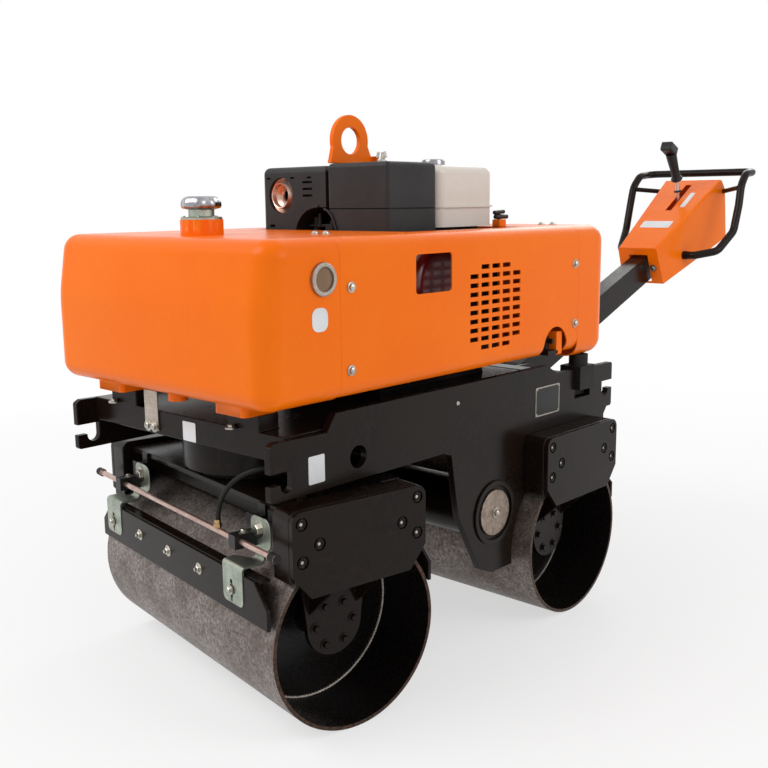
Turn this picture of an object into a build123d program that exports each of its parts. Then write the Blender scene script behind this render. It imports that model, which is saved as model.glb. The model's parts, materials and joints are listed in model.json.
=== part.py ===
from build123d import *
import os
from math import cos, sin, radians

# Walk-behind roller with two steel drums. Millimetres, +Z up, front is -Y, the machine's left is +X.
# Everything is drawn with X = 0 on the centre plane, Y = 0 at the front drum's axle and Z = 0 on the ground.

# Drums
drum_dia = 385
drum_width = 750
drum_wall = 8
dish_depth = 155
dish_thick = 10
wheel_base = 718
boss_rad = 46
boss_inset = 15
boss_proud = 48
boss_gap = 2
shaft_rad = 25
shaft_gap = 0.1
shaft_inset = 6
drum_lip = 1.5

# Steering, as the machine is parked
steer_at_rest = -9.4

# Side plates of the frame
plate_inset = 45
plate_thick = 16
plate_low_z = 488
plate_top_z = 631
hook_tip_y = -236
hook_top_z = 600
hook_step_z = 597
hook_slot_low = 520
hook_slot_high = 543
hook_slot_end_y = -182
hook_pocket_drop = 18
hook_pocket_width = 30
hook_lead = 12
knee_round = 16
plate_round = 7
plate_step_y = -92
plate_flat_y = -68
plate_knee_y = 282
plate_knee_low = (308, 334)
plate_tip_front = (388, 188)
plate_tip_low = (434, 168)
drum_cut_gap = 12
plate_drop_y = 652
plate_rear_y = 962
plate_rear_low_z = 486
rear_slot_end_y = 912
rear_slot_low = 535
rear_slot_high = 556
notch_front_y = 780
notch_wide = 72
notch_low_z = 530
rear_step = (700, 606)
rear_tip_drop = 4
rear_tail_in = 22
plate_waist = (925, 468)
plate_end_low = (930, 340)
lift_hole_y = -8
lift_hole_z = 534
lift_hole_rad = 23

# Frame between the side plates
beam_front_y = -188
beam_depth = 50
beam_low_z = 550
beam_top_z = 602
beam_wall = 5
deck_thick = 12
deck_rear_y = 230
housing_rad = 150
housing_low_z = 475
kingpin_rad = 35
kingpin_gap = 0.1
kingpin_top_z = 585
turn_gap = 0.3
bed_rear_y = 700
bed_thick = 10
rear_beam_back = 4
rear_beam_depth = 50
rear_beam_low = 490
rear_beam_high = 572

# Exciter between the drums
exciter_y = 442
exciter_z = 313
exciter_rad = 66
exciter_cover_rad = 54
exciter_cover_thick = 6
exciter_ring_rad = 76
exciter_ring_width = 12
exciter_ring_proud = 5
exciter_sunk = 2
exciter_pin_rad = 7
exciter_pin_proud = 10
seat_gap = 0.3

# Drum carriers, the same at both drums
cover_proud = 23
cover_thick = 12
cover_half = 158
cover_top_z = 474
cover_shoulder_z = 352
cover_low_z = 304
cover_low_half = 118
cover_corner = 22
bolt_rows = ((137, 451), (136, 378), (98, 406))
bolt_recess_rad = 13
bolt_recess_deep = 6
box_plate = 10
box_corner = 20
box_side_low = 336
arm_inset = 75
arm_thick = 12
arm_rad = 66
arm_top_z = 340
arm_top_half = 84
arm_web_low = 304
arm_web_half = 62
web_thick = 10
web_low_z = 225

# Steered yoke over the front drum
yoke_top_z = 460
yoke_plate = 12
yoke_plate_half = 130
yoke_web_half = 80
yoke_low_z = 396
yoke_ring_rad = 120

# Scrapers, one in front of and one behind each drum
scraper_y = 190
scraper_thick = 8
scraper_low_z = 250
scraper_high_z = 335
scraper_inset = 7
scraper_bevel = 45
bracket_x = (-301, 248)
bracket_width = 74
bracket_thick = 4
bracket_drop = 80
bracket_rise = 14
inner_blade_rise = 5
arm_x = 230
arm_width = 46
arm_plate = 10
ear_width = 24
ear_top_z = 430

# Water spray bar
bar_y = -190
bar_z = 397
bar_rad = 6
bar_proud = 10
bar_cap_rad = 9
bar_cap_len = 22
clamp_x = 258
clamp_width = 24
clamp_half_high = 14
angle_half = 12
angle_drop = 22
angle_thick = 12
angle_wall = 6
zinc_half = 30
zinc_low_z = 386
zinc_high_z = 438
zinc_thick = 4
zinc_in = 6

# Water hose from the bar to the frame
hose_rad = 5
hose_points = ((180, -190, 410), (181, -189, 437), (193, -182, 474), (221, -166, 508), (250, -138, 526),
               (266, -100, 526), (272, -66, 506), (273, -56, 478))
hose_foot_x = 273
hose_foot_y = -55
hose_foot_rad = 9
hose_foot_z = 474

# Bodywork
body_half = 347
body_low_z = 655
body_top_z = 963
body_wall = 3
body_edge = 36
tank_front_y = -257
tank_round = 45
crease_round = 300
tank_crease_z = 840
tank_top_front_y = -236
tank_rear_y = -68
seam = 0.5
hood_rear_y = 757
tail_rear_y = 903
tail_low_z = 640
tail_corner = 58
tail_lip = 22
tail_slot_in = 80
tail_slot_wide = 20
sill_high = 40
sill_in = 16
deck_seam_x = 285
tank_boss_y = -190
tank_boss_rad = 20
foot_low_z = 634
foot_round = 12
foot_sunk = 8
foot_x = 200
foot_half = 46
foot_front_y = -222
foot_rear_y = -140
window_y = (148, 263)
window_z = (841, 921)
window_round = 8
grille_cols = ((8, 0), (10, 1), (10, 1), (10, 1), (8, 0))
grille_front_y = 326
grille_pitch_y = 39
grille_slot_y = 29
grille_slot_z = 10
grille_pitch_z = 19.5
grille_mid_z = 797
arch_front_y = 612
arch_rear_y = 712
arch_top_z = 726

# Filler on the tank
filler_y = -112
filler_rad = 43.5
filler_top_z = 994
flange_rad = 41.5
flange_top_z = 999
neck_rad = 26
neck_top_z = 1013
cap_rad = 42
cap_top_z = 1040
cap_edge = 8
gauge_y = -112
gauge_z = 888
gauge_rad = 31
gauge_proud = 8
gauge_sunk = 2
gauge_rim = 8
lens_sunk = 3

# Rubber mounts under the tail
mount_wide = 60
mount_post_in = 28
ledge_long = 30
mount_gap = 2
mount_low = 22
mount_top_z = 612
mount_rad = 24
ledge_high = 20

# Engine
block_x = (-170, 205)
block_y = (240, 620)
block_top_z = 950
starter_x = (205, 278)
starter_y = 330
starter_z = 840
starter_rad = 104
starter_round = 24
muffler_x = (-203, 14)
muffler_y = (226, 384)
muffler_z = (950, 1106)
cleaner_x = (20, 204)
cleaner_y = (224, 388)
cleaner_z = (950, 1110)
cover_round = 12
cleaner_round = 16
cover_gap_low = 1000
cover_gap_wide = 60
outlet_x = -136
outlet_z = 1041
outlet_rad = 34
outlet_long = 36
outlet_wall = 8
outlet_floor = 9
fuel_x = (-190, 200)
fuel_y = (398, 608)
fuel_z = (966, 1106)
fuel_seam_z = 1012
rail_x = (-130, 140)
rail_width = 40
foot_high = 28
fuel_rail_in = 10
fuel_round = 26
fuel_edge = 20
fuel_rim = 5
fuel_rim_half = 2
deck_room = 14
fuel_cap_y = 440
fuel_cap_x = 150
fuel_cap_rad = 27
fuel_cap_high = 14

# Lifting eye
eye_y = 318
eye_z = 1163
eye_hole_rad = 30
eye_rad = 58
eye_thick = 12
eye_base_y = (252, 394)
eye_base_z = 1112
eye_post_y = (389, 396)
eye_post_half = 40
eye_post_lap = 18
eye_taper = 6

# Handle
pivot_y = 1000
pivot_z = 526
pivot_rad = 12
handle_slope = 20.7
tube_wide = 54
tube_high = 84
tube_wall = 5
tube_end = 922
tube_hollow = 60
lug_gap = 1
lug_thick = 14
lug_rad = 38
console_front_y = 1682
console_front_z = 863
console_front_low = (1733, 744)
console_rear_top = (2072, 1087)
console_rear_mid = (2112, 1047)
console_rear_low = (2135, 893)
console_belly = (2009, 845)
console_half_front = 70
console_half_rear = 107
console_wall = 4
console_gap = 7
console_round = 8
console_slot_z = (970, 1120)
slot_y = (1892, 2045)
slot_half = 11
cross_rad = 14
cross_half = 100
cross_y = 1850
cross_z = 834
grip_rad = 13
grip_points = ((100, 1850, 834), (124, 1850, 834), (182, 1900, 848), (203, 1972, 912), (205, 2000, 1000),
               (203, 2016, 1066), (200, 2056, 1105), (200, 2135, 1113))
grip_bends = (24, 42, 50, 70, 70, 45)
grip_corner = 38
lever_pivot = (0, 1990, 925)
lever_pivot_rad = 9
lever_neck = (0, 1948, 1091)
lever_top = (0, 1885, 1196)
stem_rad = 5
lever_rad = 16
knob_rad = 20

# Tie strap in front of the beam
strap_x = (-118, -72)
strap_thick = 4
strap_low_z = 558
strap_high_z = 643

# Cutting shapes run past the part by these
past = 5
far = 3000

ground_to_axle = drum_dia / 2
dish_x = drum_width / 2 - dish_depth
boss_inner_x = dish_x - boss_inset
boss_outer_x = dish_x + boss_proud
shaft_inner_x = dish_x - shaft_inset
plate_outer_x = drum_width / 2 - plate_inset
plate_inner_x = plate_outer_x - plate_thick
cover_outer_x = drum_width / 2 + cover_proud
arm_outer_x = drum_width / 2 - arm_inset
scraper_half = drum_width / 2 - scraper_inset
bar_half = drum_width / 2 + bar_proud
notch_rear_y = notch_front_y + notch_wide
zinc_y = zinc_in - cover_half
rear_beam_y = notch_rear_y + rear_beam_back


def prism_x(points, x0, x1):
    """Extrude a closed outline of (y, z) points from x0 to x1."""
    return extrude(Plane.YZ.offset(x0) * make_face(Polyline(*points, close=True)), x1 - x0)


def prism_y(points, y0, y1):
    """Extrude a closed outline of (x, z) points from y0 to y1."""
    return extrude(Plane.XZ.offset(-y1) * make_face(Polyline(*points, close=True)), y1 - y0)


def block(x, y, z):
    """A box between two limits along each axis."""
    size = (x[1] - x[0], y[1] - y[0], z[1] - z[0])
    return Pos((x[0] + x[1]) / 2, (y[0] + y[1]) / 2, (z[0] + z[1]) / 2) * Box(*size)


def rod_x(rad, x0, x1, y, z):
    """A round bar along X."""
    return Pos((x0 + x1) / 2, y, z) * Rot(0, 90, 0) * Cylinder(rad, x1 - x0)


def rod_z(rad, z0, z1, x, y):
    """A round bar along Z."""
    return Pos(x, y, (z0 + z1) / 2) * Cylinder(rad, z1 - z0)


def across(solid):
    """The same solid on the machine's other side."""
    return mirror(solid, about=Plane.YZ)


def turned(solid):
    """A yoke piece, drawn straight ahead, at the angle the yoke stands at."""
    return Rot(0, 0, steer_at_rest) * solid


def tube_path(points, bends, rad):
    """A round bar along straight runs joined by arcs."""
    path = FilletPolyline(*points, radius=bends)
    return sweep(Plane(path @ 0, z_dir=path % 0) * Circle(rad), path=path)


def arc_radii(points):
    """The largest arc that each corner of a route takes."""
    radii = []
    for a, b, c in zip(points, points[1:], points[2:]):
        run_in, run_out = Vector(*b) - Vector(*a), Vector(*c) - Vector(*b)
        half_turn = radians(run_in.get_angle(run_out)) / 2
        radii.append(0.45 * min(run_in.length, run_out.length) * cos(half_turn) / sin(half_turn))
    return radii


# Drum
def drum(axle_y):
    rad = drum_dia / 2
    shell = rod_x(rad, -drum_width / 2, drum_width / 2, axle_y, rad)
    shell -= rod_x(rad - drum_wall, -drum_width, drum_width, axle_y, rad)
    rims = shell.edges().filter_by(GeomType.CIRCLE).sort_by(SortBy.LENGTH)[-2:]
    shell = fillet(rims, drum_lip)
    for side in (-1, 1):
        dish = rod_x(rad - drum_wall, dish_x - dish_thick, dish_x, axle_y, rad)
        dish += rod_x(boss_rad, boss_inner_x, boss_outer_x, axle_y, rad)
        dish -= rod_x(shaft_rad + shaft_gap, shaft_inner_x - shaft_gap, boss_outer_x + past, axle_y, rad)
        shell += dish if side > 0 else across(dish)
    return shell


# Cover plate, arm and stub shaft that carry one end of a drum
def carrier(axle_y):
    outline = [(-cover_half, cover_shoulder_z), (-cover_half, cover_top_z), (cover_half, cover_top_z),
               (cover_half, cover_shoulder_z), (cover_low_half, cover_low_z), (-cover_low_half, cover_low_z)]
    plate = prism_x([(axle_y + y, z) for y, z in outline], cover_outer_x - cover_thick, cover_outer_x)
    corners = plate.edges().filter_by(Axis.X).sort_by(Axis.Z)[-2:]
    plate = fillet(corners, cover_corner)
    for y, z in bolt_rows:
        for way in (-1, 1):
            plate -= rod_x(bolt_recess_rad, cover_outer_x - bolt_recess_deep, cover_outer_x + past,
                            axle_y + way * y, z)
    inner_x = arm_outer_x - arm_thick
    mid_z = ground_to_axle
    arm = prism_x([(axle_y - arm_rad, mid_z), (axle_y - arm_top_half, arm_top_z),
                   (axle_y + arm_top_half, arm_top_z), (axle_y + arm_rad, mid_z)], inner_x, arm_outer_x)
    arm += rod_x(arm_rad, inner_x, arm_outer_x, axle_y, mid_z)
    arm += rod_x(shaft_rad, shaft_inner_x, inner_x, axle_y, mid_z)
    arm += rod_x(boss_rad, boss_outer_x + boss_gap, inner_x, axle_y, mid_z)
    reach = (arm_outer_x, cover_outer_x - cover_thick)
    arm += block(reach, (axle_y - arm_web_half, axle_y + arm_web_half), (arm_web_low, arm_top_z))
    web = [(reach[0], arm_web_low), (reach[1], arm_web_low), (reach[0], web_low_z)]
    for way in (-1, 1):
        y = axle_y + way * (arm_web_half - web_thick / 2)
        arm += prism_y(web, y - web_thick / 2, y + web_thick / 2)
    return plate + arm


# Box that carries a cover plate, from its inner plate out
def end_box(axle_y, inner_x):
    outer = (inner_x, cover_outer_x - cover_thick)
    low_half = cover_half - box_plate
    top = block(outer, (axle_y - cover_half, axle_y + cover_half), (cover_top_z - box_plate, cover_top_z))
    for way in (-1, 1):
        ends = sorted((axle_y + way * low_half, axle_y + way * cover_half))
        top += block(outer, ends, (box_side_low, cover_top_z - box_plate))
    return fillet(top.edges().filter_by(Axis.X).group_by(Axis.Z)[-1], box_corner)


# Frame
def hook_slot(tip_y, end_y, low, high):
    """The slot of a tie-down hook, with a pocket at its blind end."""
    way = 1 if end_y > tip_y else -1
    ys = sorted((tip_y - way * past, end_y))
    slot = block((-far, far), ys, (low, high))
    pocket = sorted((end_y, end_y - way * hook_pocket_width))
    mid = (pocket[0] + pocket[1]) / 2
    slot += block((-far, far), pocket, (low - hook_pocket_drop + hook_pocket_width / 2, high))
    slot += rod_x(hook_pocket_width / 2, -far, far, mid, low - hook_pocket_drop + hook_pocket_width / 2)
    return slot


def side_plate():
    outline = [(hook_tip_y, plate_low_z), (hook_tip_y, hook_top_z - plate_round),
               (hook_tip_y + hook_lead, hook_top_z),
               (plate_step_y, hook_step_z), (plate_flat_y, plate_top_z), (plate_drop_y, plate_top_z),
               rear_step, (plate_rear_y, rear_step[1] - rear_tip_drop), (plate_rear_y, plate_rear_low_z),
               (plate_rear_y - rear_tail_in, plate_rear_low_z), plate_waist, plate_end_low,
               (wheel_base, plate_end_low[1]),
               (wheel_base, plate_tip_low[1]), plate_tip_low, plate_tip_front, plate_knee_low,
               (plate_knee_y, plate_low_z)]
    plate = prism_x(outline, plate_inner_x, plate_outer_x)
    spots = [(plate_knee_y, plate_low_z), plate_tip_low]
    turns = [e for e in plate.edges().filter_by(Axis.X)
             if any(abs(e.center().Y - y) + abs(e.center().Z - z) < seam for y, z in spots)]
    plate = fillet(turns, knee_round)
    ends = plate.edges().filter_by(Axis.X)
    hooks = [e for e in ends if abs(e.center().Y - hook_tip_y) < seam and e.center().Z < hook_top_z]
    hooks += [e for e in ends if abs(e.center().Y - plate_rear_y) < seam]
    plate = fillet(hooks, plate_round)
    plate -= rod_x(ground_to_axle + drum_cut_gap, 0, far, wheel_base, ground_to_axle)
    plate -= hook_slot(hook_tip_y, hook_slot_end_y, hook_slot_low, hook_slot_high)
    plate -= hook_slot(plate_rear_y, rear_slot_end_y, rear_slot_low, rear_slot_high)
    plate -= block((0, far), (notch_front_y, notch_rear_y), (notch_low_z, plate_top_z))
    plate -= rod_x(lift_hole_rad, 0, far, lift_hole_y, lift_hole_z)
    plate -= rod_x(exciter_rad + seat_gap, 0, far, exciter_y, exciter_z)
    return plate


def box_beam(y, z, wall):
    """A hollow cross beam between the side plates."""
    outer = block((-plate_inner_x, plate_inner_x), y, z)
    inner = block((-plate_inner_x, plate_inner_x), (y[0] + wall, y[1] - wall), (z[0] + wall, z[1] - wall))
    return outer - inner


def front_beam():
    beam = box_beam((beam_front_y, beam_front_y + beam_depth), (beam_low_z, beam_top_z), beam_wall)
    beam += block((-plate_inner_x, plate_inner_x), (beam_front_y + beam_depth, deck_rear_y),
                  (beam_top_z - deck_thick, beam_top_z))
    for x in (-foot_x, foot_x):
        beam += block((x - foot_half, x + foot_half), (beam_front_y, beam_front_y + beam_depth),
                      (beam_top_z, foot_low_z))
    return beam


def turntable():
    post = rod_z(housing_rad, housing_low_z, beam_top_z - deck_thick, 0, 0)
    post -= rod_z(kingpin_rad + kingpin_gap, housing_low_z - past, kingpin_top_z + kingpin_gap, 0, 0)
    beam_room = block((-plate_inner_x, plate_inner_x), (beam_front_y, beam_front_y + beam_depth + seam),
                      (beam_low_z - seam, beam_top_z))
    return post - beam_room


def engine_bed():
    bed = block((-plate_inner_x, plate_inner_x), (deck_rear_y, bed_rear_y),
                (beam_top_z - bed_thick, beam_top_z))
    for x in rail_x:
        bed += block((x - rail_width / 2, x + rail_width / 2), block_y, (beam_top_z, beam_top_z + foot_high))
    return bed


def rear_beam():
    return box_beam((rear_beam_y, rear_beam_y + rear_beam_depth), (rear_beam_low, rear_beam_high), beam_wall)


def handle_bracket():
    lugs = []
    for way in (-1, 1):
        near = tube_wide / 2 + lug_gap
        x = sorted((way * near, way * (near + lug_thick)))
        lug = block(x, (rear_beam_y + rear_beam_depth, pivot_y), (pivot_z - lug_rad, pivot_z + lug_rad))
        lug += rod_x(lug_rad, x[0], x[1], pivot_y, pivot_z)
        lugs.append(lug)
    reach = tube_wide / 2 + lug_gap + lug_thick
    pin = rod_x(pivot_rad, -reach, reach, pivot_y, pivot_z)
    return lugs[0] + lugs[1] + pin


def body_mounts():
    """Rubber mounts in the side plates' notches, under the tail."""
    solids = []
    outer_x = body_half - body_wall
    inner_x = outer_x - mount_wide
    low = notch_low_z + mount_low
    for way in (-1, 1):
        mount = block(sorted((way * inner_x, way * outer_x)),
                      (notch_front_y + mount_gap, notch_rear_y - mount_gap), (low, mount_top_z))
        mount += rod_z(mount_rad, mount_top_z, tail_low_z, way * (outer_x - mount_post_in),
                       (notch_front_y + notch_rear_y) / 2)
        ledge = block(sorted((way * inner_x, way * plate_inner_x)),
                      (notch_front_y - ledge_long, notch_rear_y), (low - ledge_high, low))
        solids.append(mount + ledge)
    return solids


def exciter():
    """Exciter housing between the side plates, with its end rings."""
    tube = rod_x(exciter_rad, -plate_outer_x, plate_outer_x, exciter_y, exciter_z)
    for way in (-1, 1):
        x = sorted((way * plate_outer_x, way * (plate_outer_x + exciter_ring_proud)))
        tube += rod_x(exciter_ring_rad, x[0], x[1], exciter_y, exciter_z)
        x = sorted((way * (plate_outer_x - exciter_sunk), way * (plate_outer_x + exciter_rad)))
        tube -= rod_x(exciter_ring_rad - exciter_ring_width, x[0], x[1], exciter_y, exciter_z)
    return tube


def exciter_covers():
    covers = []
    for way in (-1, 1):
        low_x = plate_outer_x - exciter_sunk
        x = sorted((way * low_x, way * (low_x + exciter_cover_thick)))
        disc = rod_x(exciter_cover_rad, x[0], x[1], exciter_y, exciter_z)
        x = sorted((way * low_x, way * (plate_outer_x + exciter_pin_proud)))
        covers.append(disc + rod_x(exciter_pin_rad, x[0], x[1], exciter_y, exciter_z))
    return covers


# Yoke
def yoke_beam():
    top = block((-plate_outer_x, plate_outer_x), (-yoke_plate_half, yoke_plate_half),
                (yoke_top_z - yoke_plate, yoke_top_z))
    top += block((-plate_outer_x, plate_outer_x), (-yoke_web_half, yoke_web_half),
                 (yoke_low_z, yoke_top_z - yoke_plate))
    top += rod_z(yoke_ring_rad, yoke_top_z, housing_low_z - turn_gap, 0, 0)
    top += rod_z(kingpin_rad, yoke_top_z, kingpin_top_z, 0, 0)
    top += rod_z(hose_foot_rad, yoke_top_z, hose_foot_z, hose_foot_x, hose_foot_y)
    return top


def yoke_end():
    box = end_box(0, plate_outer_x)
    box += block((plate_outer_x, plate_outer_x + box_plate), (-cover_half + box_plate, cover_half - box_plate),
                 (yoke_low_z, cover_top_z - box_plate))
    return box


def scraper(axle_y, way, half):
    """A scraper blade across one side of a drum."""
    y = sorted((axle_y + way * scraper_y, axle_y + way * (scraper_y + scraper_thick)))
    low, high, cut = scraper_low_z, scraper_high_z, scraper_bevel
    if half > plate_inner_x:
        outline = [(-half, low), (half, low), (half, high - cut), (half - cut, high), (-half + cut, high),
                   (-half, high - cut)]
    else:
        outline = [(-half, low), (half, low), (half, high), (-half, high)]
    return prism_y(outline, y[0], y[1])


def scraper_brackets():
    """Bent straps over the front blade, back to the yoke's front edge."""
    solids = []
    face_y = -scraper_y - scraper_thick
    high = scraper_high_z + bracket_rise
    for x in bracket_x:
        xs = (x - bracket_width / 2, x + bracket_width / 2)
        stem_x = clamp_x if x > 0 else -clamp_x
        stem = (stem_x - zinc_half / 2, stem_x + zinc_half / 2)
        leg = (min(xs[0], stem[0]), max(xs[1], stem[1]))
        strap = block(xs, (face_y - bracket_thick, face_y), (high - bracket_drop, high))
        strap += block(leg, (face_y - bracket_thick, -cover_half - seat_gap), (high, high + bracket_thick))
        strap += block(stem, (-cover_half - seat_gap, zinc_y + zinc_thick), (high, high + bracket_thick))
        strap += block(stem, (zinc_y, zinc_y + zinc_thick), (high, zinc_low_z))
        solids.append(strap)
    return solids


def inner_scraper():
    """Blade behind the front drum, on two arms under the yoke's plate."""
    blade = Pos(0, 0, inner_blade_rise) * scraper(0, 1, scraper_half)
    y = scraper_y + scraper_thick
    under = yoke_top_z - yoke_plate
    for x in (-arm_x, arm_x):
        xs = (x - arm_width / 2, x + arm_width / 2)
        blade += block(xs, (y, y + arm_plate), (scraper_low_z + 2 * arm_plate, under))
        blade += block(xs, (yoke_web_half, y), (under - arm_plate, under))
    return blade


def rear_scrapers():
    """Blades before and behind the rear drum, held by the side plates."""
    front = scraper(rear_y, -1, plate_inner_x)
    back = scraper(rear_y, 1, scraper_half)
    y = rear_y + scraper_y + scraper_thick
    for way in (-1, 1):
        xs = sorted((way * plate_inner_x, way * (plate_inner_x - ear_width)))
        back += block(xs, (y, y + arm_plate), (scraper_low_z + 2 * arm_plate, ear_top_z))
    return [front, back]


def spray_bar():
    bar = rod_x(bar_rad, -bar_half, bar_half, bar_y, bar_z)
    for way in (-1, 1):
        x = sorted((way * (bar_half - bar_cap_len / 2), way * (bar_half + bar_cap_len / 2)))
        bar += rod_x(bar_cap_rad, x[0], x[1], bar_y, bar_z)
    bar += rod_z(bar_rad, bar_z, hose_points[0][2], hose_points[0][0], bar_y)
    return bar


def spray_clamps():
    solids = []
    for way in (-1, 1):
        x = way * clamp_x
        plate = block((x - zinc_half, x + zinc_half), (zinc_y, zinc_y + zinc_thick), (zinc_low_z, zinc_high_z))
        low = yoke_top_z - angle_drop - angle_thick
        angle_x = (x - angle_half, x + angle_half)
        plate += block(angle_x, (zinc_y + zinc_thick, -yoke_plate_half), (low, low + angle_thick))
        plate += block(angle_x, (-yoke_plate_half - angle_wall, -yoke_plate_half), (low, yoke_top_z - seam))
        clamp = block((x - clamp_width / 2, x + clamp_width / 2), (bar_y - clamp_half_high, zinc_y),
                      (bar_z - clamp_half_high, bar_z + clamp_half_high))
        clamp -= rod_x(bar_rad, x - clamp_width, x + clamp_width, bar_y, bar_z)
        solids.append(plate + clamp)
    return solids


def water_hose():
    return tube_path(hose_points, arc_radii(hose_points), hose_rad)


# Bodywork
def tank_shape():
    outline = [(tank_rear_y, body_low_z), (tank_front_y, body_low_z), (tank_front_y, tank_crease_z),
               (tank_top_front_y, body_top_z), (tank_rear_y, body_top_z)]
    tank = prism_x(outline, -body_half, body_half)
    crease = [e for e in tank.edges().filter_by(Axis.X) if abs(e.center().Z - tank_crease_z) < seam]
    tank = fillet(crease, crease_round)
    corners = [e for e in tank.edges() if e.center().Y < tank_rear_y - seam
               and abs((e @ 0).X - (e @ 1).X) < seam < abs((e @ 0).Z - (e @ 1).Z)]
    tank = fillet(corners, tank_round)
    rims = [e for e in tank.edges() if e.center().Y < tank_rear_y - seam
            and min(abs(e.center().Z - body_low_z), abs(e.center().Z - body_top_z)) < seam]
    return fillet(rims, body_edge)


def water_tank():
    tank = tank_shape()
    for x in (-foot_x, foot_x):
        foot = block((x - foot_half, x + foot_half), (foot_front_y, foot_rear_y),
                     (foot_low_z, body_low_z + foot_sunk))
        tank += fillet(foot.edges().filter_by(Axis.Z), foot_round)
    tank += rod_z(tank_boss_rad, foot_low_z, body_low_z + foot_sunk, 0, tank_boss_y)
    tank += rod_z(filler_rad, body_top_z - foot_sunk, filler_top_z, 0, filler_y)
    return tank - rod_x(gauge_rad + seat_gap, body_half - gauge_sunk, body_half + past, gauge_y, gauge_z)


def filler_neck():
    return (rod_z(flange_rad, filler_top_z, flange_top_z, 0, filler_y)
            + rod_z(neck_rad, flange_top_z, neck_top_z, 0, filler_y))


def filler_cap():
    cap = rod_z(cap_rad, neck_top_z, cap_top_z, 0, filler_y)
    return fillet(cap.edges().group_by(Axis.Z)[-1], cap_edge)


def sight_gauge():
    ring = rod_x(gauge_rad, body_half - gauge_sunk, body_half + gauge_proud, gauge_y, gauge_z)
    face_x = body_half + gauge_proud
    glass = rod_x(gauge_rad - gauge_rim, face_x - lens_sunk, face_x + past, gauge_y, gauge_z)
    return ring - glass


def hood_ring(inset):
    """Rounded cross-section of the hood, drawn smaller by a wall."""
    wide = 2 * (body_half - inset)
    high = body_top_z - body_low_z - 2 * inset
    face = Plane.XZ.offset(-hood_rear_y) * Pos(0, (body_top_z + body_low_z) / 2) * RectangleRounded(
        wide, high, body_edge - inset)
    return extrude(face, hood_rear_y - tank_rear_y - seam)


def side_cover():
    ring = hood_ring(0) - hood_ring(body_wall)
    cover = ring & block((deck_seam_x, far), (-far, far), (body_low_z - past, body_top_z + past))
    cover -= block((0, body_half - sill_in), (-far, far), (body_low_z - past, body_low_z + sill_high))
    side = (deck_seam_x + body_edge / 2, far)
    window = block(side, window_y, window_z)
    cover -= fillet(window.edges().filter_by(Axis.X), window_round)
    for col, (rows, group) in enumerate(grille_cols):
        y = grille_front_y + col * grille_pitch_y
        for row in range(rows):
            z = grille_mid_z + (row - (rows - 1) / 2) * grille_pitch_z
            cover -= block(side, (y, y + grille_slot_y), (z - grille_slot_z / 2, z + grille_slot_z / 2))
    arch_mid = (arch_front_y + arch_rear_y) / 2
    arch_rad = (arch_rear_y - arch_front_y) / 2
    cover -= block(side, (arch_front_y, arch_rear_y), (body_low_z - past, arch_top_z - arch_rad))
    cover -= rod_x(arch_rad, side[0], far, arch_mid, arch_top_z - arch_rad)
    return cover


def top_deck():
    deck = block((-deck_seam_x + seam, deck_seam_x - seam), (tank_rear_y + seam, hood_rear_y),
                 (body_top_z - body_wall, body_top_z))
    opening = block((muffler_x[0] - deck_room, deck_seam_x - deck_room - seam),
                    (muffler_y[0] - deck_room, fuel_y[1] + deck_room),
                    (body_top_z - body_edge, body_top_z + past))
    return deck - opening


def tail_shape(inset):
    """Tail of the hood, rounded at its top, bottom and corners."""
    shape = block((-body_half + inset, body_half - inset), (hood_rear_y + seam, tail_rear_y - inset),
                  (tail_low_z + inset, body_top_z - inset))
    back = shape.edges().group_by(Axis.Y)[-1]
    shape = fillet(back, tail_corner - inset)
    long_edges = [e for e in shape.edges().filter_by(Axis.Y) if e.length > tail_lip]
    return fillet(long_edges, body_edge - inset)


def tail_cover():
    inner = tail_shape(body_wall)
    lip = body_wall + tail_lip
    opening = block((-body_half + lip, body_half - lip), (hood_rear_y - past, hood_rear_y + tail_lip),
                    (tail_low_z + lip, body_top_z - lip))
    slot_half_x = tube_wide / 2 + tail_slot_wide
    slot = block((-slot_half_x, slot_half_x), (tail_rear_y - tail_slot_in, tail_rear_y + past),
                 (tail_low_z - past, tail_low_z + body_wall / 3))
    return tail_shape(0) - inner - opening - slot


# Engine
def recoil_starter():
    drum_part = rod_x(starter_rad, starter_x[0], starter_x[1], starter_y, starter_z)
    return fillet(drum_part.edges().group_by(Axis.X)[-1], starter_round)


def engine_block():
    """Crankcase and cylinder as one block, with rails for the fuel tank and room for the lifting post."""
    solid = block(block_x, block_y, (beam_top_z + foot_high, block_top_z))
    for x in rail_x:
        solid += block((x - rail_width / 2, x + rail_width / 2),
                       (fuel_y[0] + fuel_rail_in, fuel_y[1] - fuel_rail_in), (block_top_z, fuel_z[0]))
    post = (eye_post_y[0] - seat_gap, eye_post_y[1] + seat_gap)
    room = (-eye_post_half - seat_gap, eye_post_half + seat_gap)
    return solid - block(room, post, (beam_top_z, block_top_z + past))


def muffler_cover():
    cover = block(muffler_x, muffler_y, muffler_z)
    cover = fillet(cover.edges().filter_by(Axis.Y), cover_round)
    gap = block((muffler_x[1] - cover_gap_wide, muffler_x[1] + past), (muffler_y[0] - past, muffler_y[1] + past),
                (muffler_z[0] - past, cover_gap_low))
    bore = Pos(outlet_x, muffler_y[0], outlet_z) * Rot(90, 0, 0) * Cylinder(
        outlet_rad + seat_gap, outlet_long + seat_gap)
    return cover - gap - bore


def exhaust_outlet():
    tube = Pos(outlet_x, muffler_y[0], outlet_z) * Rot(90, 0, 0) * Cylinder(outlet_rad, outlet_long)
    bore = Pos(outlet_x, muffler_y[0] - outlet_floor, outlet_z) * Rot(90, 0, 0) * Cylinder(
        outlet_rad - outlet_wall, outlet_long)
    return tube - bore


def air_cleaner():
    cover = block(cleaner_x, cleaner_y, cleaner_z)
    cover = fillet(cover.edges().filter_by(Axis.Z), cleaner_round)
    return fillet(cover.edges().group_by(Axis.Z)[-1], cover_round)


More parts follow.
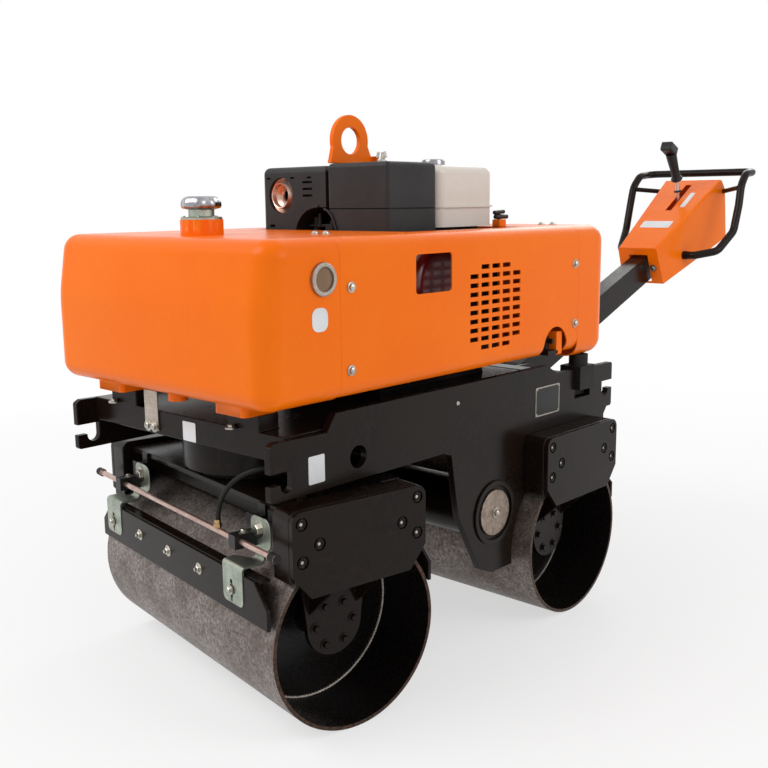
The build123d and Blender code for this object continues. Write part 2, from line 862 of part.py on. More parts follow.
def fuel_tank():
    tank = block(fuel_x, fuel_y, fuel_z)
    tank = fillet(tank.edges().filter_by(Axis.Z), fuel_round)
    tank = fillet(tank.edges().group_by(Axis.Z)[-1], fuel_edge)
    rim = block((fuel_x[0] - fuel_rim, fuel_x[1] + fuel_rim), (fuel_y[0], fuel_y[1] + fuel_rim),
                (fuel_seam_z - fuel_rim_half, fuel_seam_z + fuel_rim_half))
    return tank + fillet(rim.edges().filter_by(Axis.Z), fuel_round + fuel_rim_half)


def fuel_cap():
    return rod_z(fuel_cap_rad, fuel_z[1], fuel_z[1] + fuel_cap_high, fuel_cap_x, fuel_cap_y)


def lifting_eye():
    half = eye_thick / 2
    plate = prism_x([(eye_base_y[0], eye_base_z), (eye_y - eye_rad + eye_taper, eye_z),
                     (eye_y + eye_rad - eye_taper, eye_z),
                     (eye_base_y[1], eye_base_z)], -half, half)
    plate += rod_x(eye_rad, -half, half, eye_y, eye_z)
    plate -= block((-eye_rad, eye_rad), (-far, far), (eye_z - 2 * eye_rad, eye_base_z))
    plate -= rod_x(eye_hole_rad, -eye_thick, eye_thick, eye_y, eye_z)
    post = block((-eye_post_half, eye_post_half), eye_post_y, (beam_top_z, eye_base_z + eye_post_lap))
    return plate + post


# Handle
def along(dist, up):
    """A (y, z) point at a distance along the handle tube and above its middle line."""
    a = radians(handle_slope)
    return (pivot_y + dist * cos(a) - up * sin(a), pivot_z + dist * sin(a) + up * cos(a))


def handle_tube():
    high = tube_high / 2
    outer = prism_x([along(0, -high), along(tube_end, -high), along(tube_end, high), along(0, high)],
                    -tube_wide / 2, tube_wide / 2)
    outer += rod_x(high, -tube_wide / 2, tube_wide / 2, pivot_y, pivot_z)
    outer -= rod_x(cross_rad + seat_gap, -tube_wide, tube_wide, cross_y, cross_z)
    low = high - tube_wall
    half = tube_wide / 2 - tube_wall
    inner = prism_x([along(tube_hollow, -low), along(tube_end + past, -low), along(tube_end + past, low),
                     along(tube_hollow, low)], -half, half)
    return outer - inner - rod_x(pivot_rad + shaft_gap, -tube_wide, tube_wide, pivot_y, pivot_z)


def console_shape(inset):
    """Console cover, wider at its rear."""
    side = [(console_front_y + inset, console_front_z - inset), (console_front_low[0] + inset, console_front_low[1]),
            console_belly, (console_rear_low[0] - inset, console_rear_low[1]),
            (console_rear_mid[0] - inset, console_rear_mid[1] - inset),
            (console_rear_top[0] - inset, console_rear_top[1] - inset)]
    solid = prism_x(side, -console_half_rear - past, console_half_rear + past)
    front_half, rear_half = console_half_front - inset, console_half_rear - inset
    plan = [(-front_half, console_front_y), (front_half, console_front_y),
            (rear_half, console_rear_top[0]), (rear_half, console_rear_low[0] + past),
            (-rear_half, console_rear_low[0] + past), (-rear_half, console_rear_top[0])]
    column = extrude(Plane.XY * make_face(Polyline(*plan, close=True)), far)
    return solid & column


def console():
    outer = console_shape(0)
    long_edges = [e for e in outer.edges() if e.center().Z > console_rear_low[1] and abs(e.center().X) > slot_half
                  and (e @ 0 - e @ 1).length > console_half_front]
    shell = fillet(long_edges, console_round) - console_shape(console_wall)
    edge = tube_high / 2 + console_gap
    half = tube_wide / 2 + console_gap
    shell -= prism_x([along(0, -edge), along(tube_end, -edge), along(tube_end, edge), along(0, edge)], -half, half)
    shell -= block((-slot_half, slot_half), slot_y, console_slot_z)
    return shell - rod_x(cross_rad + seat_gap, -far, far, cross_y, cross_z)


def handlebar():
    right = [(-x, y, z) for x, y, z in grip_points]
    bends = grip_bends + (grip_corner, grip_corner) + grip_bends[::-1]
    return tube_path(right + list(grip_points[::-1]), bends, grip_rad)


def cross_bar():
    """Bar through the handle tube and the console that the handlebar's ends meet."""
    return rod_x(cross_rad, -cross_half, cross_half, cross_y, cross_z)


def console_half(y):
    """Half the console's width at a place along it."""
    share = (y - console_front_y) / (console_rear_top[0] - console_front_y)
    return console_half_front + share * (console_half_rear - console_half_front)


def travel_lever():
    """Lever on a pivot rod between the console's sides."""
    pivot, neck, top = Vector(*lever_pivot), Vector(*lever_neck), Vector(*lever_top)
    reach = console_half(lever_pivot[1] - lever_pivot_rad) - console_wall - seat_gap
    rod = rod_x(lever_pivot_rad, -reach, reach, lever_pivot[1], lever_pivot[2])
    return rod + bar_between(pivot, neck, stem_rad) + bar_between(neck, top, lever_rad) + Pos(*top) * Sphere(knob_rad)


def bar_between(a, b, rad):
    """A round bar from one point to another."""
    run = b - a
    return extrude(Plane(a, z_dir=run) * Circle(rad), run.length)


def tie_strap():
    return block(strap_x, (beam_front_y - strap_thick, beam_front_y), (strap_low_z, strap_high_z))


rear_y = wheel_base
carrier_front = carrier(0)
carrier_rear = carrier(rear_y)
plate_left = side_plate()
box_rear = end_box(rear_y, plate_outer_x)
cover_left = side_cover()
yoke_box = yoke_end()

nodes = {
    "side_plate_left": plate_left,
    "side_plate_right": across(plate_left),
    "front_beam": front_beam(),
    "turntable_post": turntable(),
    "engine_bed": engine_bed(),
    "rear_beam": rear_beam(),
    "handle_bracket": handle_bracket(),
    "exciter_housing": exciter(),
    "exciter_covers": exciter_covers(),
    "rear_box_left": box_rear,
    "rear_box_right": across(box_rear),
    "rear_carrier_left": carrier_rear,
    "rear_carrier_right": across(carrier_rear),
    "body_mounts": body_mounts(),
    "tie_strap": tie_strap(),
    "water_tank": water_tank(),
    "filler_neck": filler_neck(),
    "filler_cap": filler_cap(),
    "sight_gauge": sight_gauge(),
    "side_cover_left": cover_left,
    "side_cover_right": across(cover_left),
    "top_deck": top_deck(),
    "tail_cover": tail_cover(),
    "engine_block": engine_block(),
    "recoil_starter": recoil_starter(),
    "muffler_cover": muffler_cover(),
    "exhaust_outlet": exhaust_outlet(),
    "air_cleaner": air_cleaner(),
    "fuel_tank": fuel_tank(),
    "fuel_cap": fuel_cap(),
    "lifting_eye": lifting_eye(),
    "yoke_beam": turned(yoke_beam()),
    "yoke_box_left": turned(yoke_box),
    "yoke_box_right": turned(across(yoke_box)),
    "front_carrier_left": turned(carrier_front),
    "front_carrier_right": turned(across(carrier_front)),
    "spray_bar": turned(spray_bar()),
    "spray_clamps": [turned(s) for s in spray_clamps()],
    "front_scraper": turned(scraper(0, -1, scraper_half)),
    "inner_scraper": turned(inner_scraper()),
    "scraper_brackets": [turned(s) for s in scraper_brackets()],
    "rear_scrapers": rear_scrapers(),
    "water_hose": turned(water_hose()),
    "front_drum": turned(drum(0)),
    "rear_drum": drum(rear_y),
    "handle_tube": handle_tube(),
    "console": console(),
    "handlebar": handlebar(),
    "cross_bar": cross_bar(),
    "travel_lever": travel_lever(),
}


def as_solid(shape):
    """One compound of the solids of a node."""
    pieces = shape if isinstance(shape, list) else [shape]
    solids = [s for piece in pieces for s in piece.solids()]
    return Compound(solids) if len(solids) > 1 else solids[0]


nodes = {name: as_solid(shape) for name, shape in nodes.items()}
box = Compound([n for n in nodes.values()]).bounding_box()
origin_x, origin_y = (box.min.X + box.max.X) / 2, (box.min.Y + box.max.Y) / 2
print("origin", origin_x, origin_y, "size", box.size, "hose radii", [round(r) for r in arc_radii(hose_points)])

os.makedirs("parts", exist_ok=True)
for name, shape in nodes.items():
    export_step(Pos(-origin_x, -origin_y, 0) * shape, f"parts/{name}.step")
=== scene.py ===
import json
import math
import bmesh
import bpy
from mathutils import Matrix, Vector


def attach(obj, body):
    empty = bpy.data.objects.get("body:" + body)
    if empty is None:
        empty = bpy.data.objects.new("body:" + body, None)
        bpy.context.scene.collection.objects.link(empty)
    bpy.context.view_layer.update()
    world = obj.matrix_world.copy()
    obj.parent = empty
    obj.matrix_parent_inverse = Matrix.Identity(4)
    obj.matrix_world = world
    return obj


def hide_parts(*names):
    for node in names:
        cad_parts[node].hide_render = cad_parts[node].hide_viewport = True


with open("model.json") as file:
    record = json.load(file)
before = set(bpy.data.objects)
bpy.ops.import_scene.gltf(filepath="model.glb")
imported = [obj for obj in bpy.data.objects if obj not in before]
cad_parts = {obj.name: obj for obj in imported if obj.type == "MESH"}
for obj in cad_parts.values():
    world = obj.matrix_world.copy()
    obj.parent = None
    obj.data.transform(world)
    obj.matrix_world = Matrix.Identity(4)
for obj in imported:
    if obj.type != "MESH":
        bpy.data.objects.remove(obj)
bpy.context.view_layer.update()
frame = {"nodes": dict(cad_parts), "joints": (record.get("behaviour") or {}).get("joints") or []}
joints = {j["name"]: j for j in frame["joints"]}

# Pieces are drawn in millimetres with the front axle at y 0 and the centre plane at x 0.
steerPos = joints["steer"]["pos_m"]
drumAxis = joints["front_drum_roll"]["axis"]
steerAngle = math.atan2(drumAxis[1], drumAxis[0])
toRow = Matrix.Translation((steerPos[0], steerPos[1], 0)) @ Matrix.Scale(0.001, 4)
toYoke = toRow @ Matrix.Rotation(steerAngle, 4, "Z")
axleZ = 192.5
rearY = 718
exciterCentre = (442, 313)


# Colours and shader groups

def colour(red, green, blue):
    parts = [c / 255 for c in (red, green, blue)]
    return [c / 12.92 if c <= 0.04045 else ((c + 0.055) / 1.055) ** 2.4 for c in parts] + [1]


def addNode(tree, kind):
    return tree.nodes.new("ShaderNode" + kind)


def join(tree, source, target):
    tree.links.new(source, target)


def setInputs(node, values):
    for label, value in values.items():
        node.inputs[label].default_value = value


def newGroup(name, inputs, outputs):
    group = bpy.data.node_groups.new(name, "ShaderNodeTree")
    for label, kind, default in inputs:
        socket = group.interface.new_socket(label, in_out="INPUT", socket_type="NodeSocket" + kind)
        if default is not None:
            socket.default_value = default
    for label, kind in outputs:
        group.interface.new_socket(label, in_out="OUTPUT", socket_type="NodeSocket" + kind)
    return group, group.nodes.new("NodeGroupInput").outputs, group.nodes.new("NodeGroupOutput").inputs


def addNoise(tree, vector, scale, detail=4, rough=0.55):
    noise = addNode(tree, "TexNoise")
    setInputs(noise, {"Detail": detail, "Roughness": rough})
    join(tree, vector, noise.inputs["Vector"])
    if isinstance(scale, (int, float)):
        noise.inputs["Scale"].default_value = scale
    else:
        join(tree, scale, noise.inputs["Scale"])
    return noise.outputs["Fac"]


def remap(tree, value, low, high, outLow=0.0, outHigh=1.0):
    node = addNode(tree, "MapRange")
    setInputs(node, {"From Min": low, "From Max": high, "To Min": outLow, "To Max": outHigh})
    join(tree, value, node.inputs["Value"])
    return node.outputs["Result"]


def mixColour(tree, mask, first, second):
    node = addNode(tree, "Mix")
    node.data_type = "RGBA"
    join(tree, mask, node.inputs["Factor"])
    for socket, value in ((node.inputs[6], first), (node.inputs[7], second)):
        if isinstance(value, list):
            socket.default_value = value
        else:
            join(tree, value, socket)
    return node.outputs[2]


def calc(tree, operation, first, second=None):
    node = addNode(tree, "Math")
    node.operation = operation
    for socket, value in zip(node.inputs, (first, second)):
        if isinstance(value, (int, float)):
            socket.default_value = value
        elif value is not None:
            join(tree, value, socket)
    return node.outputs[0]


def times(tree, first, second):
    return calc(tree, "MULTIPLY", first, second)


def addMapping(tree, vector, values, kind="POINT"):
    node = addNode(tree, "Mapping")
    node.vector_type = kind
    setInputs(node, values)
    join(tree, vector, node.inputs["Vector"])
    return node.outputs["Vector"]


def makeSurfaceGroup():
    # Uneven colour, dust in patches and a fine ripple, for paints and plastics
    group, given, result = newGroup(
        "unevenSurface",
        [("Vector", "Vector", None), ("Base", "Color", (0.5, 0.5, 0.5, 1)),
         ("Shade", "Color", (0.4, 0.4, 0.4, 1)), ("Dust", "Color", (0.3, 0.25, 0.2, 1)),
         ("Patch Scale", "Float", 6.0), ("Dust Amount", "Float", 0.2),
         ("Ripple Scale", "Float", 300.0), ("Rough", "Float", 0.3), ("Rough Spread", "Float", 0.1)],
        [("Color", "Color"), ("Roughness", "Float"), ("Height", "Float")])
    vector = given["Vector"]
    patches = addNoise(group, vector, given["Patch Scale"], 5, 0.6)
    tone = mixColour(group, remap(group, patches, 0.35, 0.65), given["Base"], given["Shade"])
    specks = addNoise(group, vector, 70, 6, 0.7)
    both = times(group, remap(group, patches, 0.42, 0.62), remap(group, specks, 0.48, 0.66))
    dusty = times(group, both, given["Dust Amount"])
    join(group, mixColour(group, dusty, tone, given["Dust"]), result["Color"])
    spread = times(group, remap(group, patches, 0.3, 0.7, -1, 1), given["Rough Spread"])
    spread = calc(group, "ADD", spread, times(group, dusty, 0.4))
    rough = calc(group, "ADD", given["Rough"], spread)
    join(group, rough, result["Roughness"])
    join(group, addNoise(group, vector, given["Ripple Scale"], 2, 0.5), result["Height"])
    return group


def makeMetalGroup():
    # Blotches, fine pits and scratches that run one way, for bare and plated metal
    group, given, result = newGroup(
        "wornMetal",
        [("Vector", "Vector", None), ("Light", "Color", (0.6, 0.6, 0.6, 1)),
         ("Dark", "Color", (0.3, 0.3, 0.3, 1)), ("Blotch Scale", "Float", 12.0),
         ("Pit Scale", "Float", 160.0), ("Scratch", "Float", 0.3), ("Rough", "Float", 0.35)],
        [("Color", "Color"), ("Roughness", "Float"), ("Height", "Float")])
    vector = given["Vector"]
    stretched = addMapping(group, vector, {"Scale": (3, 60, 60)})
    blotch = addNoise(group, vector, given["Blotch Scale"], 8, 0.7)
    pits = addNoise(group, vector, given["Pit Scale"], 5, 0.7)
    lines = addNoise(group, stretched, 6, 3, 0.6)
    mask = calc(group, "ADD", times(group, remap(group, blotch, 0.35, 0.65), 0.6),
                times(group, remap(group, pits, 0.3, 0.7), 0.4))
    scratched = times(group, remap(group, lines, 0.4, 0.65), given["Scratch"])
    mask = calc(group, "ADD", times(group, mask, 0.8), times(group, scratched, 0.6))
    join(group, mixColour(group, mask, given["Dark"], given["Light"]), result["Color"])
    rough = calc(group, "ADD", given["Rough"], remap(group, mask, 0, 1, 0.12, -0.08))
    join(group, rough, result["Roughness"])
    height = calc(group, "ADD", times(group, pits, 0.6), times(group, scratched, 0.8))
    join(group, height, result["Height"])
    return group


surfaceGroup = makeSurfaceGroup()
metalGroup = makeMetalGroup()


def newMaterial(name):
    material = bpy.data.materials.new(name)
    material.use_nodes = True
    tree = material.node_tree
    shader = tree.nodes["Principled BSDF"]
    place = addNode(tree, "TexCoord").outputs["Object"]
    return material, tree, shader, place


def addBump(tree, shader, height, strength, distance):
    bump = addNode(tree, "Bump")
    setInputs(bump, {"Strength": strength, "Distance": distance})
    join(tree, height, bump.inputs["Height"])
    join(tree, bump.outputs["Normal"], shader.inputs["Normal"])


def groupMaterial(name, groupTree, values, metallic, bump, depth):
    material, tree, shader, place = newMaterial(name)
    group = addNode(tree, "Group")
    group.node_tree = groupTree
    join(tree, place, group.inputs["Vector"])
    setInputs(group, values)
    join(tree, group.outputs["Color"], shader.inputs["Base Color"])
    join(tree, group.outputs["Roughness"], shader.inputs["Roughness"])
    shader.inputs["Metallic"].default_value = metallic
    addBump(tree, shader, group.outputs["Height"], bump, depth)
    return material, shader


def paint(name, base, shade, dust, patch, dustAmount, ripple, rough, spread, coat, bump, specular=0.5):
    values = {"Base": colour(*base), "Shade": colour(*shade), "Dust": colour(*dust), "Patch Scale": patch,
              "Dust Amount": dustAmount, "Ripple Scale": ripple, "Rough": rough, "Rough Spread": spread}
    material, shader = groupMaterial(name, surfaceGroup, values, 0, bump, 0.001)
    setInputs(shader, {"Coat Weight": coat, "Coat Roughness": 0.06, "Specular IOR Level": specular})
    return material


def metal(name, light, dark, blotch, pit, scratch, rough, metallic, bump):
    values = {"Light": colour(*light), "Dark": colour(*dark), "Blotch Scale": blotch, "Pit Scale": pit,
              "Scratch": scratch, "Rough": rough}
    return groupMaterial(name, metalGroup, values, metallic, bump, 0.0006)[0]


def splitAtAxle(tree, vector):
    # How far a point lies along the axle, and how far out from it
    parts = addNode(tree, "SeparateXYZ")
    join(tree, vector, parts.inputs["Vector"])
    squares = [times(tree, parts.outputs[k], parts.outputs[k]) for k in ("Y", "Z")]
    return parts.outputs["X"], calc(tree, "SQRT", calc(tree, "ADD", *squares))


# Where a drum's outer skin and its ends begin, in metres, each over a narrow band
drumLook = {"skin": (0.1902, 0.1912), "end": (0.3738, 0.3748)}


def drumMaterial(name, axleY, angle):
    # Worn rolled steel outside, a rusty rim and black paint inside, told apart by place
    material, tree, shader, place = newMaterial(name)
    centre = toRow @ Vector((0, axleY, axleZ))
    local = addMapping(tree, place, {"Location": centre, "Rotation": (0, 0, angle)}, "TEXTURE")
    along, radius = splitAtAxle(tree, local)
    along = calc(tree, "ABSOLUTE", along)
    outside = remap(tree, radius, *drumLook["skin"])
    end = remap(tree, along, *drumLook["end"])
    fineNoise = addNoise(tree, local, 330, 4, 0.75)
    coarseNoise = addNoise(tree, local, 110, 6, 0.75)
    wideNoise = addNoise(tree, local, 9, 6, 0.65)
    speck = times(tree, calc(tree, "ADD", fineNoise, coarseNoise), 0.5)
    steel = mixColour(tree, remap(tree, speck, 0.4, 0.62), colour(66, 58, 55), colour(178, 168, 162))
    steel = mixColour(tree, remap(tree, wideNoise, 0.42, 0.62, 0, 0.62), steel, colour(86, 70, 62))
    streak = addNoise(tree, addMapping(tree, local, {"Scale": (40, 3, 3)}), 3, 5, 0.6)
    steel = mixColour(tree, remap(tree, streak, 0.54, 0.7, 0, 0.3), steel, colour(84, 80, 78))
    rust = mixColour(tree, remap(tree, coarseNoise, 0.4, 0.62), colour(36, 24, 18), colour(84, 58, 42))
    patches = remap(tree, coarseNoise, 0.5, 0.7, 0, 0.5)
    inner = mixColour(tree, patches, colour(16, 13, 12), colour(34, 26, 21))
    skin = mixColour(tree, outside, inner, steel)
    join(tree, mixColour(tree, end, skin, rust), shader.inputs["Base Color"])
    metalMask = times(tree, outside, remap(tree, along, *drumLook["end"], 1, 0.3))
    join(tree, times(tree, metalMask, 0.6), shader.inputs["Metallic"])
    roughOut = remap(tree, speck, 0.35, 0.65, 0.52, 0.36)
    roughIn = remap(tree, coarseNoise, 0.4, 0.7, 0.22, 0.42)
    chosen = addNode(tree, "Mix")
    join(tree, outside, chosen.inputs["Factor"])
    join(tree, roughIn, chosen.inputs[2])
    join(tree, roughOut, chosen.inputs[3])
    join(tree, chosen.outputs[0], shader.inputs["Roughness"])
    shader.inputs["Specular IOR Level"].default_value = 0.2
    addBump(tree, shader, times(tree, speck, remap(tree, outside, 0, 1, 0.25, 1)), 0.5, 0.0012)
    return material


def glassMaterial(name, tint, rough):
    material, tree, shader, place = newMaterial(name)
    shader.inputs["Base Color"].default_value = colour(*tint)
    uneven = remap(tree, addNoise(tree, place, 60), 0.3, 0.7, rough, rough + 0.05)
    join(tree, uneven, shader.inputs["Roughness"])
    shader.inputs["Transmission Weight"].default_value = 0.85
    return material


def ringMaterial(name, y, z):
    # Turned steel: fine rings about the disc's centre
    material, tree, shader, place = newMaterial(name)
    local = addMapping(tree, place, {"Location": toRow @ Vector((0, y, z))}, "TEXTURE")
    radius = splitAtAxle(tree, local)[1]
    joined = addNode(tree, "CombineXYZ")
    join(tree, radius, joined.inputs["X"])
    rings = addNoise(tree, joined.outputs["Vector"], 900, 3, 0.6)
    spots = addNoise(tree, place, 90, 6, 0.7)
    base = mixColour(tree, remap(tree, spots, 0.35, 0.65), colour(128, 112, 100), colour(176, 160, 146))
    base = mixColour(tree, remap(tree, rings, 0.4, 0.7, 0, 0.5), base, colour(96, 82, 74))
    join(tree, base, shader.inputs["Base Color"])
    join(tree, remap(tree, spots, 0.3, 0.7, 0.3, 0.46), shader.inputs["Roughness"])
    shader.inputs["Metallic"].default_value = 0.85
    addBump(tree, shader, rings, 0.3, 0.0004)
    return material


# A paint: base, shade and dust colours, patch scale, dust amount, ripple scale, roughness, its spread,
# coat, bump, specular. A metal: light and dark, blotch and pit scale, scratch, roughness, metallic, bump.
materials = {
    "orange": paint("orangeGloss", (250, 118, 8), (247, 111, 5), (215, 100, 28), 3.0, 0.04, 200.0, 0.27,
                    0.03, 0.04, 0.025, 0.12),
    "black": paint("frameBlack", (27, 18, 13), (19, 13, 10), (60, 42, 32), 7.0, 0.22, 150.0, 0.24, 0.05,
                   0.0, 0.08, 0.15),
    "engineBlack": paint("coverBlack", (46, 45, 46), (36, 35, 37), (76, 72, 68), 9.0, 0.15, 900.0, 0.42,
                         0.05, 0.0, 0.16, 0.22),
    "engineCast": paint("castGrey", (34, 31, 29), (24, 22, 21), (70, 60, 50), 14.0, 0.4, 240.0, 0.5, 0.08,
                        0.0, 0.5, 0.25),
    "starterRed": paint("starterRed", (118, 18, 18), (92, 12, 14), (110, 60, 50), 8.0, 0.2, 300.0, 0.28,
                        0.05, 0.3, 0.06),
    "white": paint("tankWhite", (222, 214, 204), (214, 206, 196), (170, 160, 148), 5.0, 0.1, 260.0, 0.3,
                   0.04, 0.3, 0.03, 0.3),
    "rubber": paint("rubberBlack", (25, 23, 22), (19, 18, 17), (80, 72, 64), 14.0, 0.25, 420.0, 0.6, 0.08,
                    0.0, 0.2, 0.25),
    "plastic": paint("plasticBlack", (26, 24, 24), (20, 18, 18), (70, 64, 60), 12.0, 0.1, 700.0, 0.34, 0.05,
                     0.0, 0.12, 0.3),
    "sticker": paint("blankSticker", (226, 228, 230), (216, 218, 220), (190, 186, 180), 10.0, 0.15, 300.0,
                     0.4, 0.04, 0.0, 0.03, 0.3),
    "plate": metal("plateSilver", (196, 188, 176), (140, 132, 124), 30.0, 300.0, 0.4, 0.34, 0.9, 0.1),
    "zinc": metal("zincPlate", (196, 200, 186), (120, 132, 120), 30.0, 300.0, 0.25, 0.36, 0.9, 0.2),
    "strap": metal("strapZinc", (206, 196, 184), (150, 136, 124), 20.0, 300.0, 0.35, 0.34, 0.9, 0.12),
    "bolt": metal("boltZinc", (214, 210, 200), (140, 136, 128), 60.0, 400.0, 0.2, 0.26, 1.0, 0.15),
    "bar": metal("barSteel", (216, 190, 180), (150, 120, 110), 18.0, 260.0, 0.5, 0.3, 0.9, 0.12),
    "chrome": metal("capChrome", (204, 202, 206), (96, 94, 100), 26.0, 500.0, 0.15, 0.16, 1.0, 0.05),
    "exhaust": metal("exhaustSteel", (232, 206, 194), (176, 136, 118), 24.0, 260.0, 0.3, 0.3, 0.9, 0.12),
    "brass": metal("fittingBrass", (206, 172, 124), (140, 104, 70), 40.0, 300.0, 0.3, 0.3, 1.0, 0.1),
    "weld": metal("weldBead", (176, 168, 160), (92, 84, 78), 90.0, 400.0, 0.2, 0.28, 0.9, 0.3),
    "disc": ringMaterial("discTurned", *exciterCentre),
    "glass": glassMaterial("gaugeClear", (206, 170, 128), 0.05),
    "frontDrum": drumMaterial("drumSteelFront", 0, steerAngle),
    "rearDrum": drumMaterial("drumSteelRear", rearY, 0),
}
print("materials ready:", len(materials))


# Making pieces

def addObject(name, data):
    made = bpy.data.objects.new(name, data)
    bpy.context.scene.collection.objects.link(made)
    return made


def meshObject(name, mesh):
    data = bpy.data.meshes.new(name)
    mesh.to_mesh(data)
    mesh.free()
    return addObject(name, data)


def rawPiece(name, mesh, turned=False):
    # The drawn mesh in its place, with no finish yet
    mesh.transform(toYoke if turned else toRow)
    bmesh.ops.recalc_face_normals(mesh, faces=mesh.faces)
    return meshObject(name, mesh)


def finishPiece(name, mesh, body, material, turned=False, bevel=0.0, angle=35, replaced=()):
    dressPiece(rawPiece(name, mesh, turned), body, material, bevel, 3, angle, replaced)


flatSpec = {"angle": math.radians(0.4), "area": 0.01}


def keepFlats(data):
    # The border of each large flat panel stays crisp, so that shading doesn't run across it
    mesh = bmesh.new()
    mesh.from_mesh(data)
    seen = set()
    for start in mesh.faces:
        if start in seen:
            continue
        panel, waiting = [], [start]
        seen.add(start)
        while waiting:
            face = waiting.pop()
            panel.append(face)
            for edge in face.edges:
                if len(edge.link_faces) == 2 and edge.calc_face_angle() < flatSpec["angle"]:
                    for other in edge.link_faces:
                        if other not in seen:
                            seen.add(other)
                            waiting.append(other)
        if sum(f.calc_area() for f in panel) > flatSpec["area"]:
            for edge in {e for f in panel for e in f.edges}:
                if len(edge.link_faces) == 2 and edge.calc_face_angle() > flatSpec["angle"]:
                    edge.smooth = False
    mesh.to_mesh(data)
    mesh.free()


def dressPiece(piece, body, material, bevel, segments, angle, replaced):
    piece.data.materials.clear()
    piece.data.materials.append(materials[material])
    for face in piece.data.polygons:
        face.use_smooth = True
    if bevel:
        rounding = piece.modifiers.new("rounding", "BEVEL")
        rounding.width = bevel / 1000
        rounding.segments = segments
        rounding.limit_method = "ANGLE"
        rounding.angle_limit = math.radians(angle)
        rounding.use_clamp_overlap = True
    else:
        piece.data.set_sharp_from_angle(angle=math.radians(angle))
        keepFlats(piece.data)
    even = piece.modifiers.new("even_shading", "WEIGHTED_NORMAL")
    even.mode = "FACE_AREA"
    even.weight = 50
    even.keep_sharp = True
    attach(piece, body)
    if replaced:
        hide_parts(*replaced)


copySpec = {"merge": 0.00001, "flat": math.radians(0.8), "segments": 3, "angle": 30}


def roundedCopy(node, body, material, bevel):
    # A copy of a solid: its triangles are merged and its edges rounded, unless the bevel is 0
    mesh = bmesh.new()
    mesh.from_mesh(frame["nodes"][node].data)
    bmesh.ops.remove_doubles(mesh, verts=mesh.verts, dist=copySpec["merge"])
    if bevel:
        bmesh.ops.dissolve_limit(mesh, angle_limit=copySpec["flat"], verts=mesh.verts, edges=mesh.edges)
    dressPiece(meshObject(node + "_skin", mesh), body, material, bevel, copySpec["segments"],
               copySpec["angle"], (node,))


def roundOff(mesh, geom, offset, segments, affect="EDGES"):
    return bmesh.ops.bevel(mesh, geom=geom, offset=offset, offset_type="OFFSET", segments=segments,
                           profile=0.5, affect=affect, material=-1, clamp_overlap=True)


def lift(mesh, faces, move):
    # Faces get a depth: a copy of them is carried off and joined to them by sides
    made = bmesh.ops.extrude_face_region(mesh, geom=faces)["geom"]
    raised = [v for v in made if isinstance(v, bmesh.types.BMVert)]
    bmesh.ops.translate(mesh, vec=move, verts=raised)
    return raised


def addBox(mesh, x, y, z):
    made = bmesh.ops.create_cube(mesh, size=1)["verts"]
    size = (abs(x[1] - x[0]), abs(y[1] - y[0]), abs(z[1] - z[0]))
    bmesh.ops.scale(mesh, vec=size, verts=made)
    bmesh.ops.translate(mesh, vec=((x[0] + x[1]) / 2, (y[0] + y[1]) / 2, (z[0] + z[1]) / 2), verts=made)
    return made


def aim(direction):
    return Vector(direction).normalized().to_track_quat("Z", "Y").to_matrix().to_4x4()


def addRod(mesh, start, end, radius, sides=32, endRadius=None):
    start, end = Vector(start), Vector(end)
    made = bmesh.ops.create_cone(mesh, cap_ends=True, segments=sides, radius1=radius,
                                 radius2=radius if endRadius is None else endRadius,
                                 depth=(end - start).length)["verts"]
    bmesh.ops.transform(mesh, matrix=Matrix.Translation((start + end) / 2) @ aim(end - start), verts=made)
    return made


def addTurned(mesh, profile, centre, direction, sides=48):
    # A lathe shape: (radius, height) points turned about an axis
    verts = [mesh.verts.new((r, 0, h)) for r, h in profile]
    edges = [mesh.edges.new(pair) for pair in zip(verts, verts[1:])]
    bmesh.ops.spin(mesh, geom=verts + edges, cent=(0, 0, 0), axis=(0, 0, 1), angle=math.tau, steps=sides,
                   use_merge=True)
    made = [v for v in mesh.verts if not v.tag]
    bmesh.ops.remove_doubles(mesh, verts=made, dist=0.001)
    made = [v for v in mesh.verts if not v.tag]
    bmesh.ops.transform(mesh, matrix=Matrix.Translation(centre) @ aim(direction), verts=made)
    for v in mesh.verts:
        v.tag = True


# A bolt's sizes as shares of its width across flats; the washer's thickness is in millimetres
boltSpec = {"washer": 1.6, "washerRadius": 0.95, "head": 0.42, "chamferFrom": 0.8, "chamfer": 0.86,
            "stud": 0.3}


def addHexBolt(mesh, seat, direction, across, stud=0.0):
    # Hexagon head with a chamfered top on a washer
    seat, direction = Vector(seat), Vector(direction).normalized()
    radius = across / math.sqrt(3)
    head = direction * across * boltSpec["head"]
    top = seat + direction * boltSpec["washer"]
    edge = top + head * boltSpec["chamferFrom"]
    addRod(mesh, seat - direction, top, across * boltSpec["washerRadius"], 28)
    addRod(mesh, top, edge, radius, 6)
    addRod(mesh, edge, top + head, radius, 6, radius * boltSpec["chamfer"])
    if stud:
        addRod(mesh, top + head, top + head + direction * stud, across * boltSpec["stud"], 16)


def addSocketScrew(mesh, seat, direction, radius, height):
    # Round head with a hexagon socket sunk in its top
    made = addRod(mesh, seat, Vector(seat) + Vector(direction).normalized() * height, radius, 30)
    faces = {f for v in made for f in v.link_faces}
    top = max(faces, key=lambda f: f.calc_center_median().dot(Vector(direction)))
    bmesh.ops.inset_region(mesh, faces=[top], thickness=radius * 0.12, depth=radius * 0.06)
    bmesh.ops.inset_region(mesh, faces=[top], thickness=radius * 0.38)
    bmesh.ops.translate(mesh, vec=Vector(direction).normalized() * -height * 0.55, verts=top.verts)


